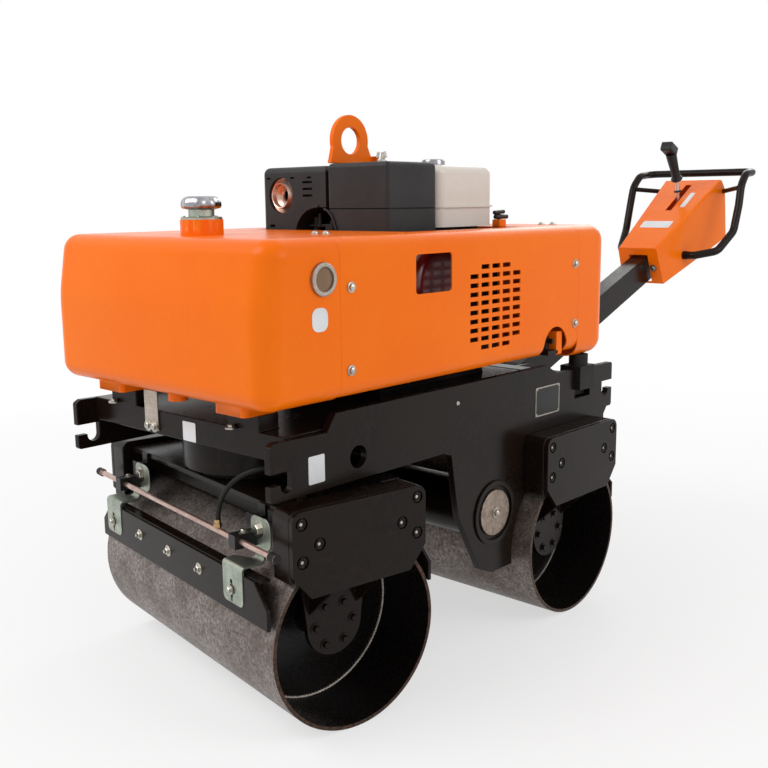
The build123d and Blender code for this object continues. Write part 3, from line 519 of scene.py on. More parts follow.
def plateOn(mesh, centre, normal, across, wide, high, thick, corner):
    # A thin plate with round corners, lying on a flat face
    normal, across = Vector(normal).normalized(), Vector(across).normalized()
    up = normal.cross(across)
    made = bmesh.ops.create_grid(mesh, x_segments=1, y_segments=1, size=0.5)["verts"]
    bmesh.ops.scale(mesh, vec=(wide, high, 1), verts=made)
    rounded = roundOff(mesh, made, corner, 4, "VERTICES")
    faces, corners = set(rounded["faces"]), set(rounded["verts"])
    found = [f for f in mesh.faces if f in faces or any(v in corners for v in f.verts)]
    face = max(found, key=lambda f: f.calc_area())
    raised = lift(mesh, [face], (0, 0, thick))
    verts = list(set(face.verts) | set(raised))
    turn = Matrix((across, up, normal)).transposed().to_4x4()
    bmesh.ops.transform(mesh, matrix=Matrix.Translation(centre) @ turn, verts=verts)


def cutWith(piece, cutter):
    # Take the cutter's shape out of the piece, then drop the cutter
    modifier = piece.modifiers.new("cut", "BOOLEAN")
    modifier.operation = "DIFFERENCE"
    modifier.solver = "EXACT"
    modifier.use_self = True
    modifier.object = cutter
    bpy.context.view_layer.update()
    data = bpy.data.meshes.new_from_object(piece.evaluated_get(bpy.context.evaluated_depsgraph_get()))
    piece.modifiers.clear()
    piece.data = data
    bpy.data.objects.remove(cutter)


def addPrism(mesh, profile, y0, y1):
    # An outline of (x, z) points carried from y0 to y1
    verts = [mesh.verts.new((x, y0, z)) for x, z in profile]
    lift(mesh, [mesh.faces.new(verts)], (0, y1 - y0, 0))


# Frame, yoke and covers: rounded copies of the solids

roundings = {
    "frame": {
        "black": {"side_plate_left": 2.5, "side_plate_right": 2.5, "front_beam": 3.0, "turntable_post": 2.0,
                  "engine_bed": 1.5, "rear_beam": 2.5, "handle_bracket": 2.5, "exciter_housing": 1.5,
                  "rear_box_left": 3.0, "rear_box_right": 3.0, "rear_carrier_left": 2.5,
                  "rear_carrier_right": 2.5, "rear_scrapers": 1.5},
        "orange": {"water_tank": 0, "side_cover_left": 0, "side_cover_right": 0, "top_deck": 0,
                   "tail_cover": 0, "lifting_eye": 2.0},
        "disc": {"exciter_covers": 1.5},
        "rubber": {"body_mounts": 8.0},
        "engineCast": {"engine_block": 6.0},
        "starterRed": {"recoil_starter": 2.0},
        "strap": {"tie_strap": 1.0},
        "white": {"fuel_tank": 1.0},
    },
    "yoke": {
        "black": {"yoke_beam": 3.0, "yoke_box_left": 3.0, "yoke_box_right": 3.0, "front_carrier_left": 2.5,
                  "front_carrier_right": 2.5, "front_scraper": 1.5, "inner_scraper": 1.5},
        "plastic": {"spray_clamps": 3.5},
        "bar": {"spray_bar": 0.6},
    },
    "handle": {
        "black": {"handle_tube": 3.0, "cross_bar": 0.8, "handlebar": 0.6},
        "orange": {"console": 6.0},
    },
    "front_drum": {"frontDrum": {"front_drum": 1.0}},
    "rear_drum": {"rearDrum": {"rear_drum": 1.0}},
}
for body, finishes in roundings.items():
    for material, nodes in finishes.items():
        for node, bevel in nodes.items():
            roundedCopy(node, body, material, bevel)
print("rounded copies ready")


# Drums: the bead where the dish meets the shell

drumSpec = {"ringRadius": 183.5, "ringX": 222, "beadRadius": 4.5, "ripples": 150, "ripple": 0.7}


def addBead(mesh, centre, x, way):
    ring = bmesh.ops.create_circle(mesh, segments=8, radius=drumSpec["beadRadius"])["verts"]
    bmesh.ops.rotate(mesh, cent=(0, 0, 0), matrix=Matrix.Rotation(math.radians(90), 3, "X"), verts=ring)
    bmesh.ops.translate(mesh, vec=(drumSpec["ringRadius"], 0, 0), verts=ring)
    edges = list({e for v in ring for e in v.link_edges})
    bmesh.ops.spin(mesh, geom=ring + edges, cent=(0, 0, 0), axis=(0, 0, 1), angle=math.tau,
                   steps=drumSpec["ripples"] * 2, use_merge=True)
    made = [v for v in mesh.verts if not v.tag]
    for v in made:
        turn = math.atan2(v.co.y, v.co.x)
        wave = drumSpec["ripple"] * math.cos(turn * drumSpec["ripples"])
        v.co.x -= wave * math.cos(turn)
        v.co.y -= wave * math.sin(turn)
        v.tag = True
    lay = Matrix.Translation((x * way, centre, axleZ)) @ Matrix.Rotation(math.radians(90), 4, "Y")
    bmesh.ops.transform(mesh, matrix=lay, verts=made)


for body, axleY, turned in (("front_drum", 0, True), ("rear_drum", rearY, False)):
    mesh = bmesh.new()
    for way in (-1, 1):
        addBead(mesh, axleY, drumSpec["ringX"], way)
    finishPiece(body + "_beads", mesh, body, "weld", turned)
print("drum beads ready")


# Carriers: screws sunk in the cover plates, and the hub bolts

carrierSpec = {"seatX": 392, "rows": ((137, 451), (136, 378), (98, 406)), "head": 9.5, "headHeight": 5.2,
               "socket": 3.4, "socketHeight": 3.2, "hubX": 300, "hubBolts": 6, "hubCircle": 46,
               "hubAcross": 13}
for body, axleY, turned in (("yoke", 0, True), ("frame", rearY, False)):
    screws, sockets, hubs = bmesh.new(), bmesh.new(), bmesh.new()
    spec = carrierSpec
    for way in (-1, 1):
        for y, z in spec["rows"]:
            for side in (-1, 1):
                seat = (way * spec["seatX"], axleY + side * y, z)
                inner = (way * (spec["seatX"] + spec["socketHeight"]), *seat[1:])
                addSocketScrew(screws, seat, (way, 0, 0), spec["head"], spec["headHeight"])
                addRod(sockets, seat, inner, spec["socket"], 6)
        for k in range(spec["hubBolts"]):
            turn = math.tau * k / spec["hubBolts"]
            seat = (way * spec["hubX"], axleY + spec["hubCircle"] * math.cos(turn),
                    axleZ + spec["hubCircle"] * math.sin(turn))
            addHexBolt(hubs, seat, (way, 0, 0), spec["hubAcross"])
    finishPiece(f"carrier_screws_{body}", screws, body, "black", turned)
    finishPiece(f"carrier_sockets_{body}", sockets, body, "bolt", turned)
    finishPiece(f"hub_bolts_{body}", hubs, body, "black", turned)
print("carrier screws ready")


# Exciter: a pin in the middle of each end cover

mesh = bmesh.new()
for way in (-1, 1):
    addTurned(mesh, [(0, 12), (4, 12), (8, 9), (8, 4), (13, 3.4), (13, 0)], (way * 333, *exciterCentre),
              (way, 0, 0), 32)
finishPiece("exciter_pins", mesh, "frame", "plate")


# Filler cap with a lobed grip

capSpec = {"y": -112, "low": 1013, "round": 22, "lobed": 19, "lobes": 8, "lobeDepth": 0.07,
           "neckLow": 994, "screws": 5, "screwCircle": 35, "screwZ": (998, 1001.2)}
mesh = bmesh.new()
addTurned(mesh, [(0, 27), (12, 27), (16, 25.5), (20, 25.5), (26, 27), (33, 25), (38.5, 20), (41, 13),
                 (41, 7), (38.5, 3), (30, 1), (26, 0), (0, 0)],
          (0, capSpec["y"], capSpec["low"]), (0, 0, 1), 96)
for v in mesh.verts:
    flat = Vector((v.co.x, v.co.y - capSpec["y"], 0))
    if flat.length > capSpec["round"]:
        turn = math.atan2(flat.y, flat.x)
        share = (flat.length - capSpec["round"]) / capSpec["lobed"]
        flat *= 1 - capSpec["lobeDepth"] * share * (0.5 - 0.5 * math.cos(turn * capSpec["lobes"]))
        v.co.x, v.co.y = flat.x, flat.y + capSpec["y"]
finishPiece("filler_cap_lobed", mesh, "frame", "chrome", replaced=("filler_cap",), angle=50)
mesh = bmesh.new()
addTurned(mesh, [(0, 20), (24, 20), (26, 19), (26, 6), (27, 5), (40, 5), (41.5, 4), (41.5, 0), (0, 0)],
          (0, capSpec["y"], capSpec["neckLow"]), (0, 0, 1), 64)
for k in range(capSpec["screws"]):
    turn = math.tau * (k + 0.3) / capSpec["screws"]
    x, y = capSpec["screwCircle"] * math.cos(turn), capSpec["y"] + capSpec["screwCircle"] * math.sin(turn)
    addRod(mesh, *((x, y, z) for z in capSpec["screwZ"]), 3.2, 16, 2.6)
finishPiece("filler_neck_turned", mesh, "frame", "zinc", replaced=("filler_neck",), angle=40)
print("filler ready")


# Level gauge on the tank's side

gaugeCentre = (345, -112, 888)
mesh = bmesh.new()
addTurned(mesh, [(22.5, 3), (22.5, 8.5), (24, 10), (28, 10), (30.5, 8), (31, 5), (31, 0), (22.5, 0),
                 (22.5, 3)], gaugeCentre, (1, 0, 0), 64)
finishPiece("gauge_ring", mesh, "frame", "plate", replaced=("sight_gauge",))
mesh = bmesh.new()
addTurned(mesh, [(0, 0.4), (22.4, 0.4), (22.4, 3), (0, 3)], gaugeCentre, (1, 0, 0), 48)
finishPiece("gauge_dial", mesh, "frame", "disc")
mesh = bmesh.new()
addTurned(mesh, [(0, 7.4), (12, 7), (22.3, 5.6), (22.3, 5), (0, 5)], gaugeCentre, (1, 0, 0), 48)
finishPiece("gauge_lens", mesh, "frame", "glass")

# Blank oval label under the gauge
mesh = bmesh.new()
plateOn(mesh, (347.2, -121, 815), (1, 0, 0), (0, 1, 0), 40, 44, 0.5, 15)
finishPiece("tank_label", mesh, "frame", "sticker")
print("gauge ready")


# Cover bolts

coverSpec = {"bolts": ((-39, 869), (-42, 712), (740, 872), (743, 727)), "x": 347}
mesh = bmesh.new()
for way in (-1, 1):
    for y, z in coverSpec["bolts"]:
        seat = Vector((way * coverSpec["x"], y, z))
        addTurned(mesh, [(0, 3.2), (7, 3.2), (10.5, 2.2), (11, 0), (0, 0)], seat, (way, 0, 0), 32)
        addTurned(mesh, [(0, 9.5), (4.5, 9), (7.2, 7), (7.6, 3.0), (0, 3.0)], seat, (way, 0, 0), 32)
finishPiece("cover_bolts", mesh, "frame", "bolt")

# Latch behind the arch
mesh = bmesh.new()
addRod(mesh, (318, 660, 668), (318, 660, 700), 9)
addRod(mesh, (300, 660, 690), (341, 660, 690), 6)
addBox(mesh, (312, 340), (640, 684), (657, 668))
finishPiece("arch_latch", mesh, "frame", "black", bevel=1.5)
print("covers ready")


# Recessed panel that shows through the arch
mesh = bmesh.new()
for way in (-1, 1):
    addBox(mesh, (way * 300, way * 296), (566, 704), (652, 716))
    addBox(mesh, (way * 340, way * 296), (676, 700), (656, 712))
finishPiece("arch_recess", mesh, "frame", "orange", bevel=1.5)


# Engine covers

# The slots in the muffler's face: left, right, low, high and how deep
engineSpec = {"muffler": ((-203, 14), (226, 384), (950, 1106)), "mufflerRound": 16,
              "cleaner": ((20, 204), (224, 388)), "postRound": 10, "rimRound": 12, "outlet": (-136, 1041),
              "slots": ((-62, -30, 1068, 1073, 240), (-62, -30, 1053, 1058, 240),
                        (-62, -30, 1038, 1043, 240), (-185, -171, 1079, 1083, 236),
                        (-103, -89, 1079, 1083, 236), (-47, -33, 1079, 1083, 236),
                        (-177, -159, 968, 974, 236), (-67, -53, 968, 974, 236))}


def addMuffler():
    x, y, z = engineSpec["muffler"]
    mesh = bmesh.new()
    addBox(mesh, x, y, z)
    corner = [e for e in mesh.edges if all(v.co.z > z[1] - 1 for v in e.verts)]
    corner += [e for e in mesh.edges if all(v.co.x < x[0] + 1 for v in e.verts) and
               abs(e.verts[0].co.z - e.verts[1].co.z) > 10]
    roundOff(mesh, corner, engineSpec["mufflerRound"], 5)
    return mesh


# An arch runs over both covers where they meet: (x, z) points of its edge
archSpec = {"muffler": ((-88, 940), (-84, 962), (-76, 980), (-64, 994), (-48, 1005), (-30, 1011),
                        (-8, 1014)),
            "cleaner": ((10, 1008), (22, 1004), (32, 995), (40, 982), (46, 966), (50, 950), (50, 940)),
            "lip": 5, "proud": 5,
            "rods": (((-52, 262, 955), (-52, 262, 992), 9, 20), ((-30, 250, 968), (-30, 250, 1000), 5, 16),
                     ((-66, 252, 972), (-14, 252, 972), 3.5, 16), ((16, 246, 956), (16, 246, 984), 7, 20))}


def addArchLip(mesh, points, y):
    # A ribbon that follows the arch and stands out from the cover
    rows = []
    for index, (x, z) in enumerate(points):
        before, after = points[max(index - 1, 0)], points[min(index + 1, len(points) - 1)]
        run = Vector((after[0] - before[0], after[1] - before[1])).normalized()
        rows.append([mesh.verts.new((x, y, z)),
                     mesh.verts.new((x - run.y * archSpec["lip"], y, z + run.x * archSpec["lip"]))])
    faces = [mesh.faces.new((a[0], a[1], b[1], b[0])) for a, b in zip(rows, rows[1:])]
    lift(mesh, faces, (0, -archSpec["proud"], 0))


muffler = rawPiece("muffler_shell", addMuffler())
cuts = bmesh.new()
outX, outZ = engineSpec["outlet"]
addRod(cuts, (outX, 215, outZ), (outX, 262, outZ), 41, 48)
for left, right, low, high, deep in engineSpec["slots"]:
    addBox(cuts, (left, right), (220, deep), (low, high))
addPrism(cuts, [*archSpec["muffler"], (30, 1014), (30, 940)], 215, 340)
cutWith(muffler, rawPiece("mufflerCuts", cuts))
dressPiece(muffler, "frame", "engineBlack", 1.2, 2, 40, ("muffler_cover",))
mesh = bmesh.new()
addArchLip(mesh, archSpec["muffler"], 227)
addArchLip(mesh, archSpec["cleaner"], 225)
finishPiece("arch_lips", mesh, "frame", "engineBlack", bevel=0.8)
mesh = bmesh.new()
for rod in archSpec["rods"]:
    addRod(mesh, *rod)
addBox(mesh, (-8, 12), (244, 262), (952, 976))
finishPiece("arch_fittings", mesh, "frame", "engineCast", bevel=0.8)
mesh = bmesh.new()
addTurned(mesh, [(12, -2), (14, 4), (20, 9), (25, 12), (27, 22), (29, 23), (33, 13), (38, 10), (40, 12),
                 (40, -4), (12, -4), (12, -2)], (outX, 246, outZ), (0, -1, 0), 56)
finishPiece("exhaust_bell", mesh, "frame", "exhaust", replaced=("exhaust_outlet",), angle=45)
mesh = bmesh.new()
for k in range(3):
    turn = math.tau * (k + 0.25) / 3
    addSocketScrew(mesh, (outX + 35 * math.cos(turn), 236, outZ + 35 * math.sin(turn)), (0, -1, 0), 3, 3)
finishPiece("exhaust_screws", mesh, "frame", "bolt")
print("muffler ready")


def addCleaner(low, high, top):
    mesh = bmesh.new()
    addBox(mesh, *engineSpec["cleaner"], (low, high))
    posts = [e for e in mesh.edges if abs(e.verts[0].co.z - e.verts[1].co.z) > 5]
    roundOff(mesh, posts, engineSpec["postRound"], 6)
    if top:
        rim = [e for e in mesh.edges if all(v.co.z > high - 0.5 for v in e.verts) and
               len(e.link_faces) == 2 and any(len(f.verts) == 4 for f in e.link_faces)]
        roundOff(mesh, rim, engineSpec["rimRound"], 4)
    return mesh


finishPiece("cleaner_lid", addCleaner(1012, 1110, True), "frame", "engineBlack", angle=50)
cleanerLow = rawPiece("cleaner_case", addCleaner(950, 1009, False))
cuts = bmesh.new()
addPrism(cuts, [(0, 940), (0, 1006), (10, 1006), *archSpec["cleaner"][1:]], 200, 300)
cutWith(cleanerLow, rawPiece("cleanerCuts", cuts))
dressPiece(cleanerLow, "frame", "engineBlack", 1.2, 2, 50, ("air_cleaner",))
mesh = bmesh.new()
addBox(mesh, (24, 200), (228, 384), (1008, 1012.5))
addRod(mesh, (112, 306, 1109), (112, 306, 1117), 5)
finishPiece("cleaner_seam", mesh, "frame", "rubber")
mesh = bmesh.new()
addTurned(mesh, [(0, 22), (4, 22), (6, 19), (8, 8), (11, 6), (11, 0), (0, 0)], (112, 306, 1111),
          (0, 0, 1), 24)
for way in (-1, 1):
    made = addBox(mesh, (112 + way * 4, 112 + way * 16), (304, 308), (1118, 1132))
    lean = Matrix.Rotation(way * math.radians(-14), 3, "Y")
    bmesh.ops.rotate(mesh, cent=(112, 306, 1118), matrix=lean, verts=made)
finishPiece("cleaner_wing_nut", mesh, "frame", "bolt", bevel=0.8)

# Fuel cap on the tank's top, wherever the solid ends
tank = frame["nodes"]["fuel_tank"]
tankTop = max((tank.matrix_world @ v.co).z for v in tank.data.vertices)
mesh = bmesh.new()
addTurned(mesh, [(0, 13.5), (18, 13.5), (25, 12), (27, 8), (27, 0), (0, 0)], (150, 440, tankTop * 1000),
          (0, 0, 1), 48)
finishPiece("fuel_cap_turned", mesh, "frame", "chrome", replaced=("fuel_cap",))

# Bolts at the deck's corners, and the throttle on its stand
deckSpec = {"z": 963, "bolts": ((186, 25), (207, 35), (-186, 25), (-207, 35), (200, 812), (226, 824),
                                (-200, 812), (-226, 824))}
mesh = bmesh.new()
for x, y in deckSpec["bolts"]:
    addTurned(mesh, [(0, 6.5), (4, 6), (6.5, 4), (7, 1.5), (11, 1.2), (11, 0), (0, 0)],
              (x, y, deckSpec["z"]), (0, 0, 1), 28)
finishPiece("deck_bolts", mesh, "frame", "bolt")
mesh = bmesh.new()
addBox(mesh, (190, 212), (614, 642), (962, 980))
finishPiece("throttle_stand", mesh, "frame", "orange", bevel=2)
mesh = bmesh.new()
addRod(mesh, (200, 608, 996), (200, 648, 998), 5)
addRod(mesh, (200, 612, 986), (200, 661, 986), 5.5)
addRod(mesh, (200, 628, 978), (200, 628, 998), 4.5)
finishPiece("throttle_fitting", mesh, "frame", "plastic", bevel=1.5)
print("engine ready")


# Bolts of the tank strap and the feet, blank stickers, rivets and the data plate

mesh = bmesh.new()
for x in (-106, -84):
    addHexBolt(mesh, (x, -192, 567), (0, -1, 0), 13)
for x in (-226, 174):
    addHexBolt(mesh, (x, -196, 602), (0, 0, 1), 13)
finishPiece("strap_bolts", mesh, "frame", "bolt")
mesh = bmesh.new()
plateOn(mesh, (330.2, -122, 532), (1, 0, 0), (0, 1, 0), 42, 54, 0.6, 3)
plateOn(mesh, (30, -188.2, 572), (0, -1, 0), (1, 0, 0), 42, 40, 0.6, 3)
plateOn(mesh, (299, 906.2, 532), (0, 1, 0), (-1, 0, 0), 26, 36, 0.6, 2)
finishPiece("blank_stickers", mesh, "frame", "sticker")

mesh = bmesh.new()
for way in (-1, 1):
    addTurned(mesh, [(0, 3.4), (3.4, 2.8), (5, 1), (5, 0), (0, 0)], (way * 330, 305, 592), (way, 0, 0), 20)
finishPiece("plate_rivets", mesh, "frame", "bolt")

# Data plate: a silver edge round a black blank field, with a rivet in each corner
plateSpec = {"y": 656, "z": 546, "rivetY": 46.5, "rivetZ": 30.5}
mesh = bmesh.new()
plateOn(mesh, (330.2, plateSpec["y"], plateSpec["z"]), (1, 0, 0), (0, 1, 0), 103, 71, 0.9, 3)
finishPiece("data_plate_edge", mesh, "frame", "plate")
mesh = bmesh.new()
plateOn(mesh, (331.1, plateSpec["y"], plateSpec["z"]), (1, 0, 0), (0, 1, 0), 97, 65, 0.3, 2)
finishPiece("data_plate_field", mesh, "frame", "plastic")
mesh = bmesh.new()
for y in (-plateSpec["rivetY"], plateSpec["rivetY"]):
    for z in (-plateSpec["rivetZ"], plateSpec["rivetZ"]):
        addTurned(mesh, [(0, 1.8), (1.6, 1.5), (2.4, 0.4), (2.4, 0), (0, 0)],
                  (331, plateSpec["y"] + y, plateSpec["z"] + z), (1, 0, 0), 14)
finishPiece("data_plate_rivets", mesh, "frame", "bolt")
print("frame details ready")


# Scraper bolts, clamp bolts and the zinc plates on the yoke, each plate with a larger bolt

yokeSpec = {"scraperFace": -198, "scraperBolts": (-165, -27, 110), "boltZ": 300, "clampX": 258,
            "zincY": -152, "zincShift": 24}
mesh = bmesh.new()
for x in yokeSpec["scraperBolts"]:
    addHexBolt(mesh, (x, yokeSpec["scraperFace"], yokeSpec["boltZ"]), (0, -1, 0), 13, stud=4)
for way in (-1, 1):
    plateX = way * yokeSpec["clampX"] + yokeSpec["zincShift"]
    addHexBolt(mesh, (plateX - 4, yokeSpec["zincY"] - 3, 416), (0, -1, 0), 19)
    addHexBolt(mesh, (way * yokeSpec["clampX"], -178, 411), (0, 0, 1), 10)
finishPiece("yoke_bolts", mesh, "yoke", "bolt", turned=True)
mesh = bmesh.new()
for way in (-1, 1):
    plateX = way * yokeSpec["clampX"] + yokeSpec["zincShift"]
    plateOn(mesh, (plateX, yokeSpec["zincY"] - 0.2, 410), (0, -1, 0), (1, 0, 0), 70, 62, 3, 17)
finishPiece("zinc_plates", mesh, "yoke", "zinc", turned=True, bevel=0.8)

# Scraper brackets: folded straps with a square hole, a bolt and a keyhole slot
bracketSpec = {"spans": ((-338, -264, -298, -268), (211, 285, 254, 284)), "face": -200, "low": 270,
               "high": 351, "bend": -172, "back": -150, "rise": 386, "thick": 4, "fold": 9, "corner": 12,
               "holeHalf": 4.5, "holeZ": 313, "boltZ": 297, "slotZ": 281, "middles": (-305, 243)}


def addBracket(mesh, left, right, stemLeft, stemRight):
    # A strip along the fold line with its folds and lower corners rounded; it gets its thickness later
    spec = bracketSpec
    path = [(left, right, spec["face"], spec["low"]),
            (left, right, spec["face"], spec["high"]),
            (left, right, spec["bend"], spec["high"]), (stemLeft, stemRight, spec["back"], spec["high"]),
            (stemLeft, stemRight, spec["back"], spec["rise"])]
    rows = [[mesh.verts.new((x, y, z)) for x in (x0, x1)] for x0, x1, y, z in path]
    for first, second in zip(rows, rows[1:]):
        mesh.faces.new((first[0], first[1], second[1], second[0]))
    folds = [mesh.edges.get(row) for row in (rows[1], rows[3])]
    roundOff(mesh, folds, spec["fold"], 5)
    lowest = [v for v in mesh.verts if abs(v.co.z - spec["low"]) < 0.1 and left - 1 < v.co.x < right + 1]
    roundOff(mesh, lowest, spec["corner"], 4, "VERTICES")


straps = bmesh.new()
for span in bracketSpec["spans"]:
    addBracket(straps, *span)
bmesh.ops.recalc_face_normals(straps, faces=straps.faces)
bmesh.ops.solidify(straps, geom=straps.faces[:], thickness=bracketSpec["thick"])
cuts = bmesh.new()
half, holeZ, slotZ = (bracketSpec[k] for k in ("holeHalf", "holeZ", "slotZ"))
for x in bracketSpec["middles"]:
    addBox(cuts, (x - half, x + half), (-215, -185), (holeZ - half, holeZ + half))
    addBox(cuts, (x - 2.5, x + 2.5), (-215, -185), (slotZ - 8, slotZ + 3))
    addRod(cuts, (x, -215, slotZ + 3), (x, -185, slotZ + 3), 4.5, 20)
brackets = rawPiece("bent_brackets", straps, True)
cutWith(brackets, rawPiece("bracketCuts", cuts, True))
dressPiece(brackets, "yoke", "zinc", 0.6, 2, 40, ("scraper_brackets",))
mesh = bmesh.new()
for x in bracketSpec["middles"]:
    addHexBolt(mesh, (x, -203, bracketSpec["boltZ"]), (0, -1, 0), 11)
finishPiece("bracket_bolts", mesh, "yoke", "bolt", turned=True)

# Folded top edge of the front scraper
mesh = bmesh.new()
addBox(mesh, (-350, 336), (-192, -168), (332, 337))
finishPiece("scraper_lip", mesh, "yoke", "black", turned=True, bevel=1.6)
mesh = bmesh.new()
for way in (-1, 1):
    addTurned(mesh, [(0, 24), (7.5, 24), (9, 22), (9.4, 2), (8.6, 0), (0, 0)], (way * 374, -190, 397),
              (way, 0, 0), 28)
finishPiece("bar_caps", mesh, "yoke", "rubber", turned=True)
mesh = bmesh.new()
addTurned(mesh, [(0, 20), (6.6, 20), (6.6, 12), (8.4, 12), (8.4, 4), (6, 4), (6, 0), (0, 0)],
          (180, -190, 399), (0, 0, 1), 6)
addTurned(mesh, [(0, 14), (6.6, 14), (6.6, 10), (9, 10), (9, 0), (0, 0)], (273, -55, 461), (0, 0, 1), 24)
finishPiece("hose_fittings", mesh, "yoke", "brass", turned=True)

# Water hose: one smooth spline along the solid's route
hoseSpec = {"points": ((180, -190, 410), (181, -189, 437), (193, -182, 474), (221, -166, 508),
                       (250, -138, 526), (266, -100, 526), (272, -66, 506), (273, -56, 478)),
            "radius": 5, "length": 0.264}
line = bpy.data.curves.new("feed_hose", "CURVE")
line.dimensions = "3D"
spline = line.splines.new("NURBS")
spline.points.add(len(hoseSpec["points"]) - 1)
for spot, point in zip(spline.points, hoseSpec["points"]):
    spot.co = (*(toYoke @ Vector(point)), 1)
spline.order_u = 3
spline.use_endpoint_u = True
spline.resolution_u = 12
line.bevel_depth = hoseSpec["radius"] / 1000
line.bevel_resolution = 6
line.use_fill_caps = True
line.materials.append(materials["rubber"])
hose = addObject("feed_hose", line)
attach(hose, "yoke")
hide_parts("water_hose")
print("yoke details ready")


# Travel lever

leverSpec = {"pivot": (0, 1990, 925), "neck": (0, 1948, 1091), "top": (0, 1889, 1190), "coneLength": 46,
             "headTilt": -24, "headRound": 6.5, "shaftHalf": 86}
pivot, neck, top = (Vector(leverSpec[k]) for k in ("pivot", "neck", "top"))
run = (top - neck).normalized()
foot = neck - (neck - pivot).normalized() * leverSpec["coneLength"]
mesh = bmesh.new()
addRod(mesh, pivot, neck, 5, 24)
across = Vector((leverSpec["shaftHalf"], 0, 0))
addRod(mesh, pivot - across, pivot + across, 9, 32)
addRod(mesh, foot, neck, 8.5, 24, 6.5)
finishPiece("lever_stem", mesh, "handle", "exhaust", bevel=0.5)
mesh = bmesh.new()
addTurned(mesh, [(0, -5), (17, -5), (19.5, -2), (19.5, 3), (15.5, 7), (14.5, 20), (15, 38), (16.5, 64),
                 (18, 88), (18, 98), (0, 102)], neck, run, 40)
finishPiece("lever_grip", mesh, "handle", "plastic", angle=50, replaced=("travel_lever",))
mesh = bmesh.new()
addBox(mesh, (-21, 21), (-32, 22), (-17, 15))
roundOff(mesh, mesh.edges[:], leverSpec["headRound"], 4)
tilt = Matrix.Rotation(math.radians(leverSpec["headTilt"]), 4, "X")
bmesh.ops.transform(mesh, matrix=Matrix.Translation(top) @ tilt, verts=mesh.verts)
finishPiece("lever_head", mesh, "handle", "plastic", angle=50)
mesh = bmesh.new()
addTurned(mesh, [(0, 6), (10, 6), (13, 3), (13, 0), (0, 0)], foot, neck - pivot, 24)
finishPiece("lever_boot", mesh, "handle", "rubber", bevel=0.5)

# Blank label, slot plate and bolt on the console, and the stubs that carry the handlebar
consoleSpec = {"front": (0, 1682, 863), "run": (0, 0.867, 0.498), "label": 150, "slotPlate": 312,
               "slotPlateX": 42, "bolt": (48, 1710, 797), "faceOut": (0, -0.919, -0.394)}
start, run = Vector(consoleSpec["front"]), Vector(consoleSpec["run"])
out = Vector((0, -run.z, run.y))
mesh = bmesh.new()
plateOn(mesh, start + run * consoleSpec["label"] - out * 0.3, out, (1, 0, 0), 108, 42, 1.0, 4)
slotPlate = start + run * consoleSpec["slotPlate"] + Vector((consoleSpec["slotPlateX"], 0, 0))
plateOn(mesh, slotPlate - out * 0.3, out, (1, 0, 0), 17, 96, 1.0, 3)
finishPiece("console_labels", mesh, "handle", "sticker")
mesh = bmesh.new()
addHexBolt(mesh, consoleSpec["bolt"], consoleSpec["faceOut"], 13)
finishPiece("console_bolt", mesh, "handle", "bolt")
mesh = bmesh.new()
for way in (-1, 1):
    addRod(mesh, (way * 98, 2100, 1046), (way * 196, 2012, 1058), 8, 24)
finishPiece("handlebar_stubs", mesh, "handle", "black")
print("lever ready")


# Floor, light and camera

viewSpec = {"place": (1666.98, -1390.97, 1027.84), "azimuth": 42.5, "elevation": 10.3, "roll": -0.6,
            "focal": 1010.4, "pixels": 768, "sensor": 36}
floorSpec = {"size": 30, "near": 0.9, "far": 3.2, "glow": 0.6}


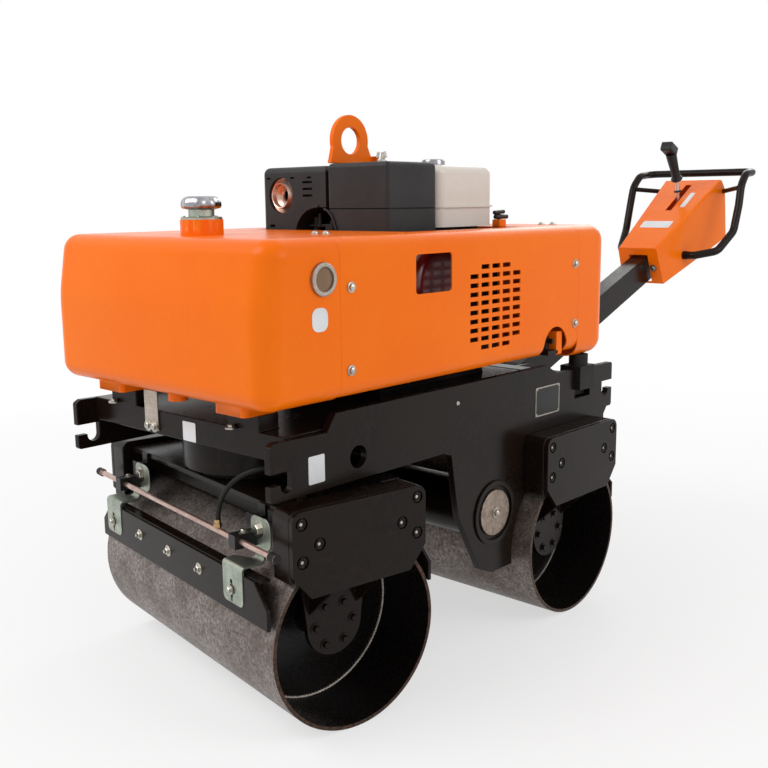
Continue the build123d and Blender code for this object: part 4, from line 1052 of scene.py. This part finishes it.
def addFloor():
    mesh = bmesh.new()
    bmesh.ops.create_grid(mesh, x_segments=1, y_segments=1, size=floorSpec["size"])
    floor = meshObject("floor", mesh)
    material, tree, shader, place = newMaterial("paleFloor")
    setInputs(shader, {"Base Color": (0.9, 0.9, 0.9, 1), "Roughness": 0.7})
    glow = addNode(tree, "Emission")
    glow.inputs["Strength"].default_value = 1.0
    rays = addNode(tree, "LightPath")
    mixed = addNode(tree, "MixShader")
    reach = addNode(tree, "VectorMath")
    reach.operation = "LENGTH"
    join(tree, place, reach.inputs[0])
    share = remap(tree, reach.outputs["Value"], floorSpec["near"], floorSpec["far"], floorSpec["glow"], 1.0)
    seen = calc(tree, "MAXIMUM", rays.outputs["Is Camera Ray"],
                calc(tree, "MAXIMUM", rays.outputs["Is Glossy Ray"], rays.outputs["Is Transmission Ray"]))
    join(tree, times(tree, seen, share), mixed.inputs["Fac"])
    join(tree, shader.outputs["BSDF"], mixed.inputs[1])
    join(tree, glow.outputs["Emission"], mixed.inputs[2])
    join(tree, mixed.outputs["Shader"], tree.nodes["Material Output"].inputs["Surface"])
    floor.data.materials.append(material)


def addLamp(name, place, target, size, power):
    light = bpy.data.lights.new(name, "AREA")
    light.shape = "RECTANGLE"
    light.size, light.size_y = size
    light.energy = power
    lamp = addObject(name, light)
    place, target = Vector(place), Vector(target)
    lamp.matrix_world = Matrix.Translation(place) @ aim(place - target)


def addWorld():
    world = bpy.data.worlds.new("studio")
    bpy.context.scene.world = world
    world.use_nodes = True
    tree = world.node_tree
    back = tree.nodes["Background"]
    back.inputs["Color"].default_value = (1, 1, 1, 1)
    rays = addNode(tree, "LightPath")
    plain = calc(tree, "MAXIMUM", rays.outputs["Is Camera Ray"], rays.outputs["Is Glossy Ray"])
    seen = calc(tree, "MAXIMUM", plain, rays.outputs["Is Transmission Ray"])
    join(tree, remap(tree, seen, 0, 1, 0.56, 1.0), back.inputs["Strength"])


def addCamera():
    turn, rise, roll = (math.radians(viewSpec[k]) for k in ("azimuth", "elevation", "roll"))
    back = Vector((math.sin(turn) * math.cos(rise), -math.cos(turn) * math.cos(rise), math.sin(rise)))
    right = Vector((math.cos(turn), math.sin(turn), 0))
    up = back.cross(right)
    rightRolled = right * math.cos(roll) + up * math.sin(roll)
    upRolled = up * math.cos(roll) - right * math.sin(roll)
    camera = bpy.data.cameras.new("view")
    camera.sensor_width = viewSpec["sensor"]
    camera.lens = viewSpec["focal"] / viewSpec["pixels"] * viewSpec["sensor"]
    holder = addObject("view", camera)
    facing = Matrix((rightRolled, upRolled, back)).transposed().to_4x4()
    holder.matrix_world = Matrix.Translation(toRow @ Vector(viewSpec["place"])) @ facing
    bpy.context.scene.camera = holder


addFloor()
addWorld()
addLamp("keyLight", (-1.2, -3.2, 3.4), (0, 0, 0.7), (2.6, 2.2), 72)
addLamp("sideLight", (3.6, 0.2, 2.6), (0, 0, 0.6), (2.4, 2.4), 44)
addLamp("backLight", (-1.0, 3.6, 2.8), (0, 0.2, 0.8), (2.4, 1.8), 40)
addCamera()
bpy.context.scene.view_settings.view_transform = "Standard"
print("stage ready")
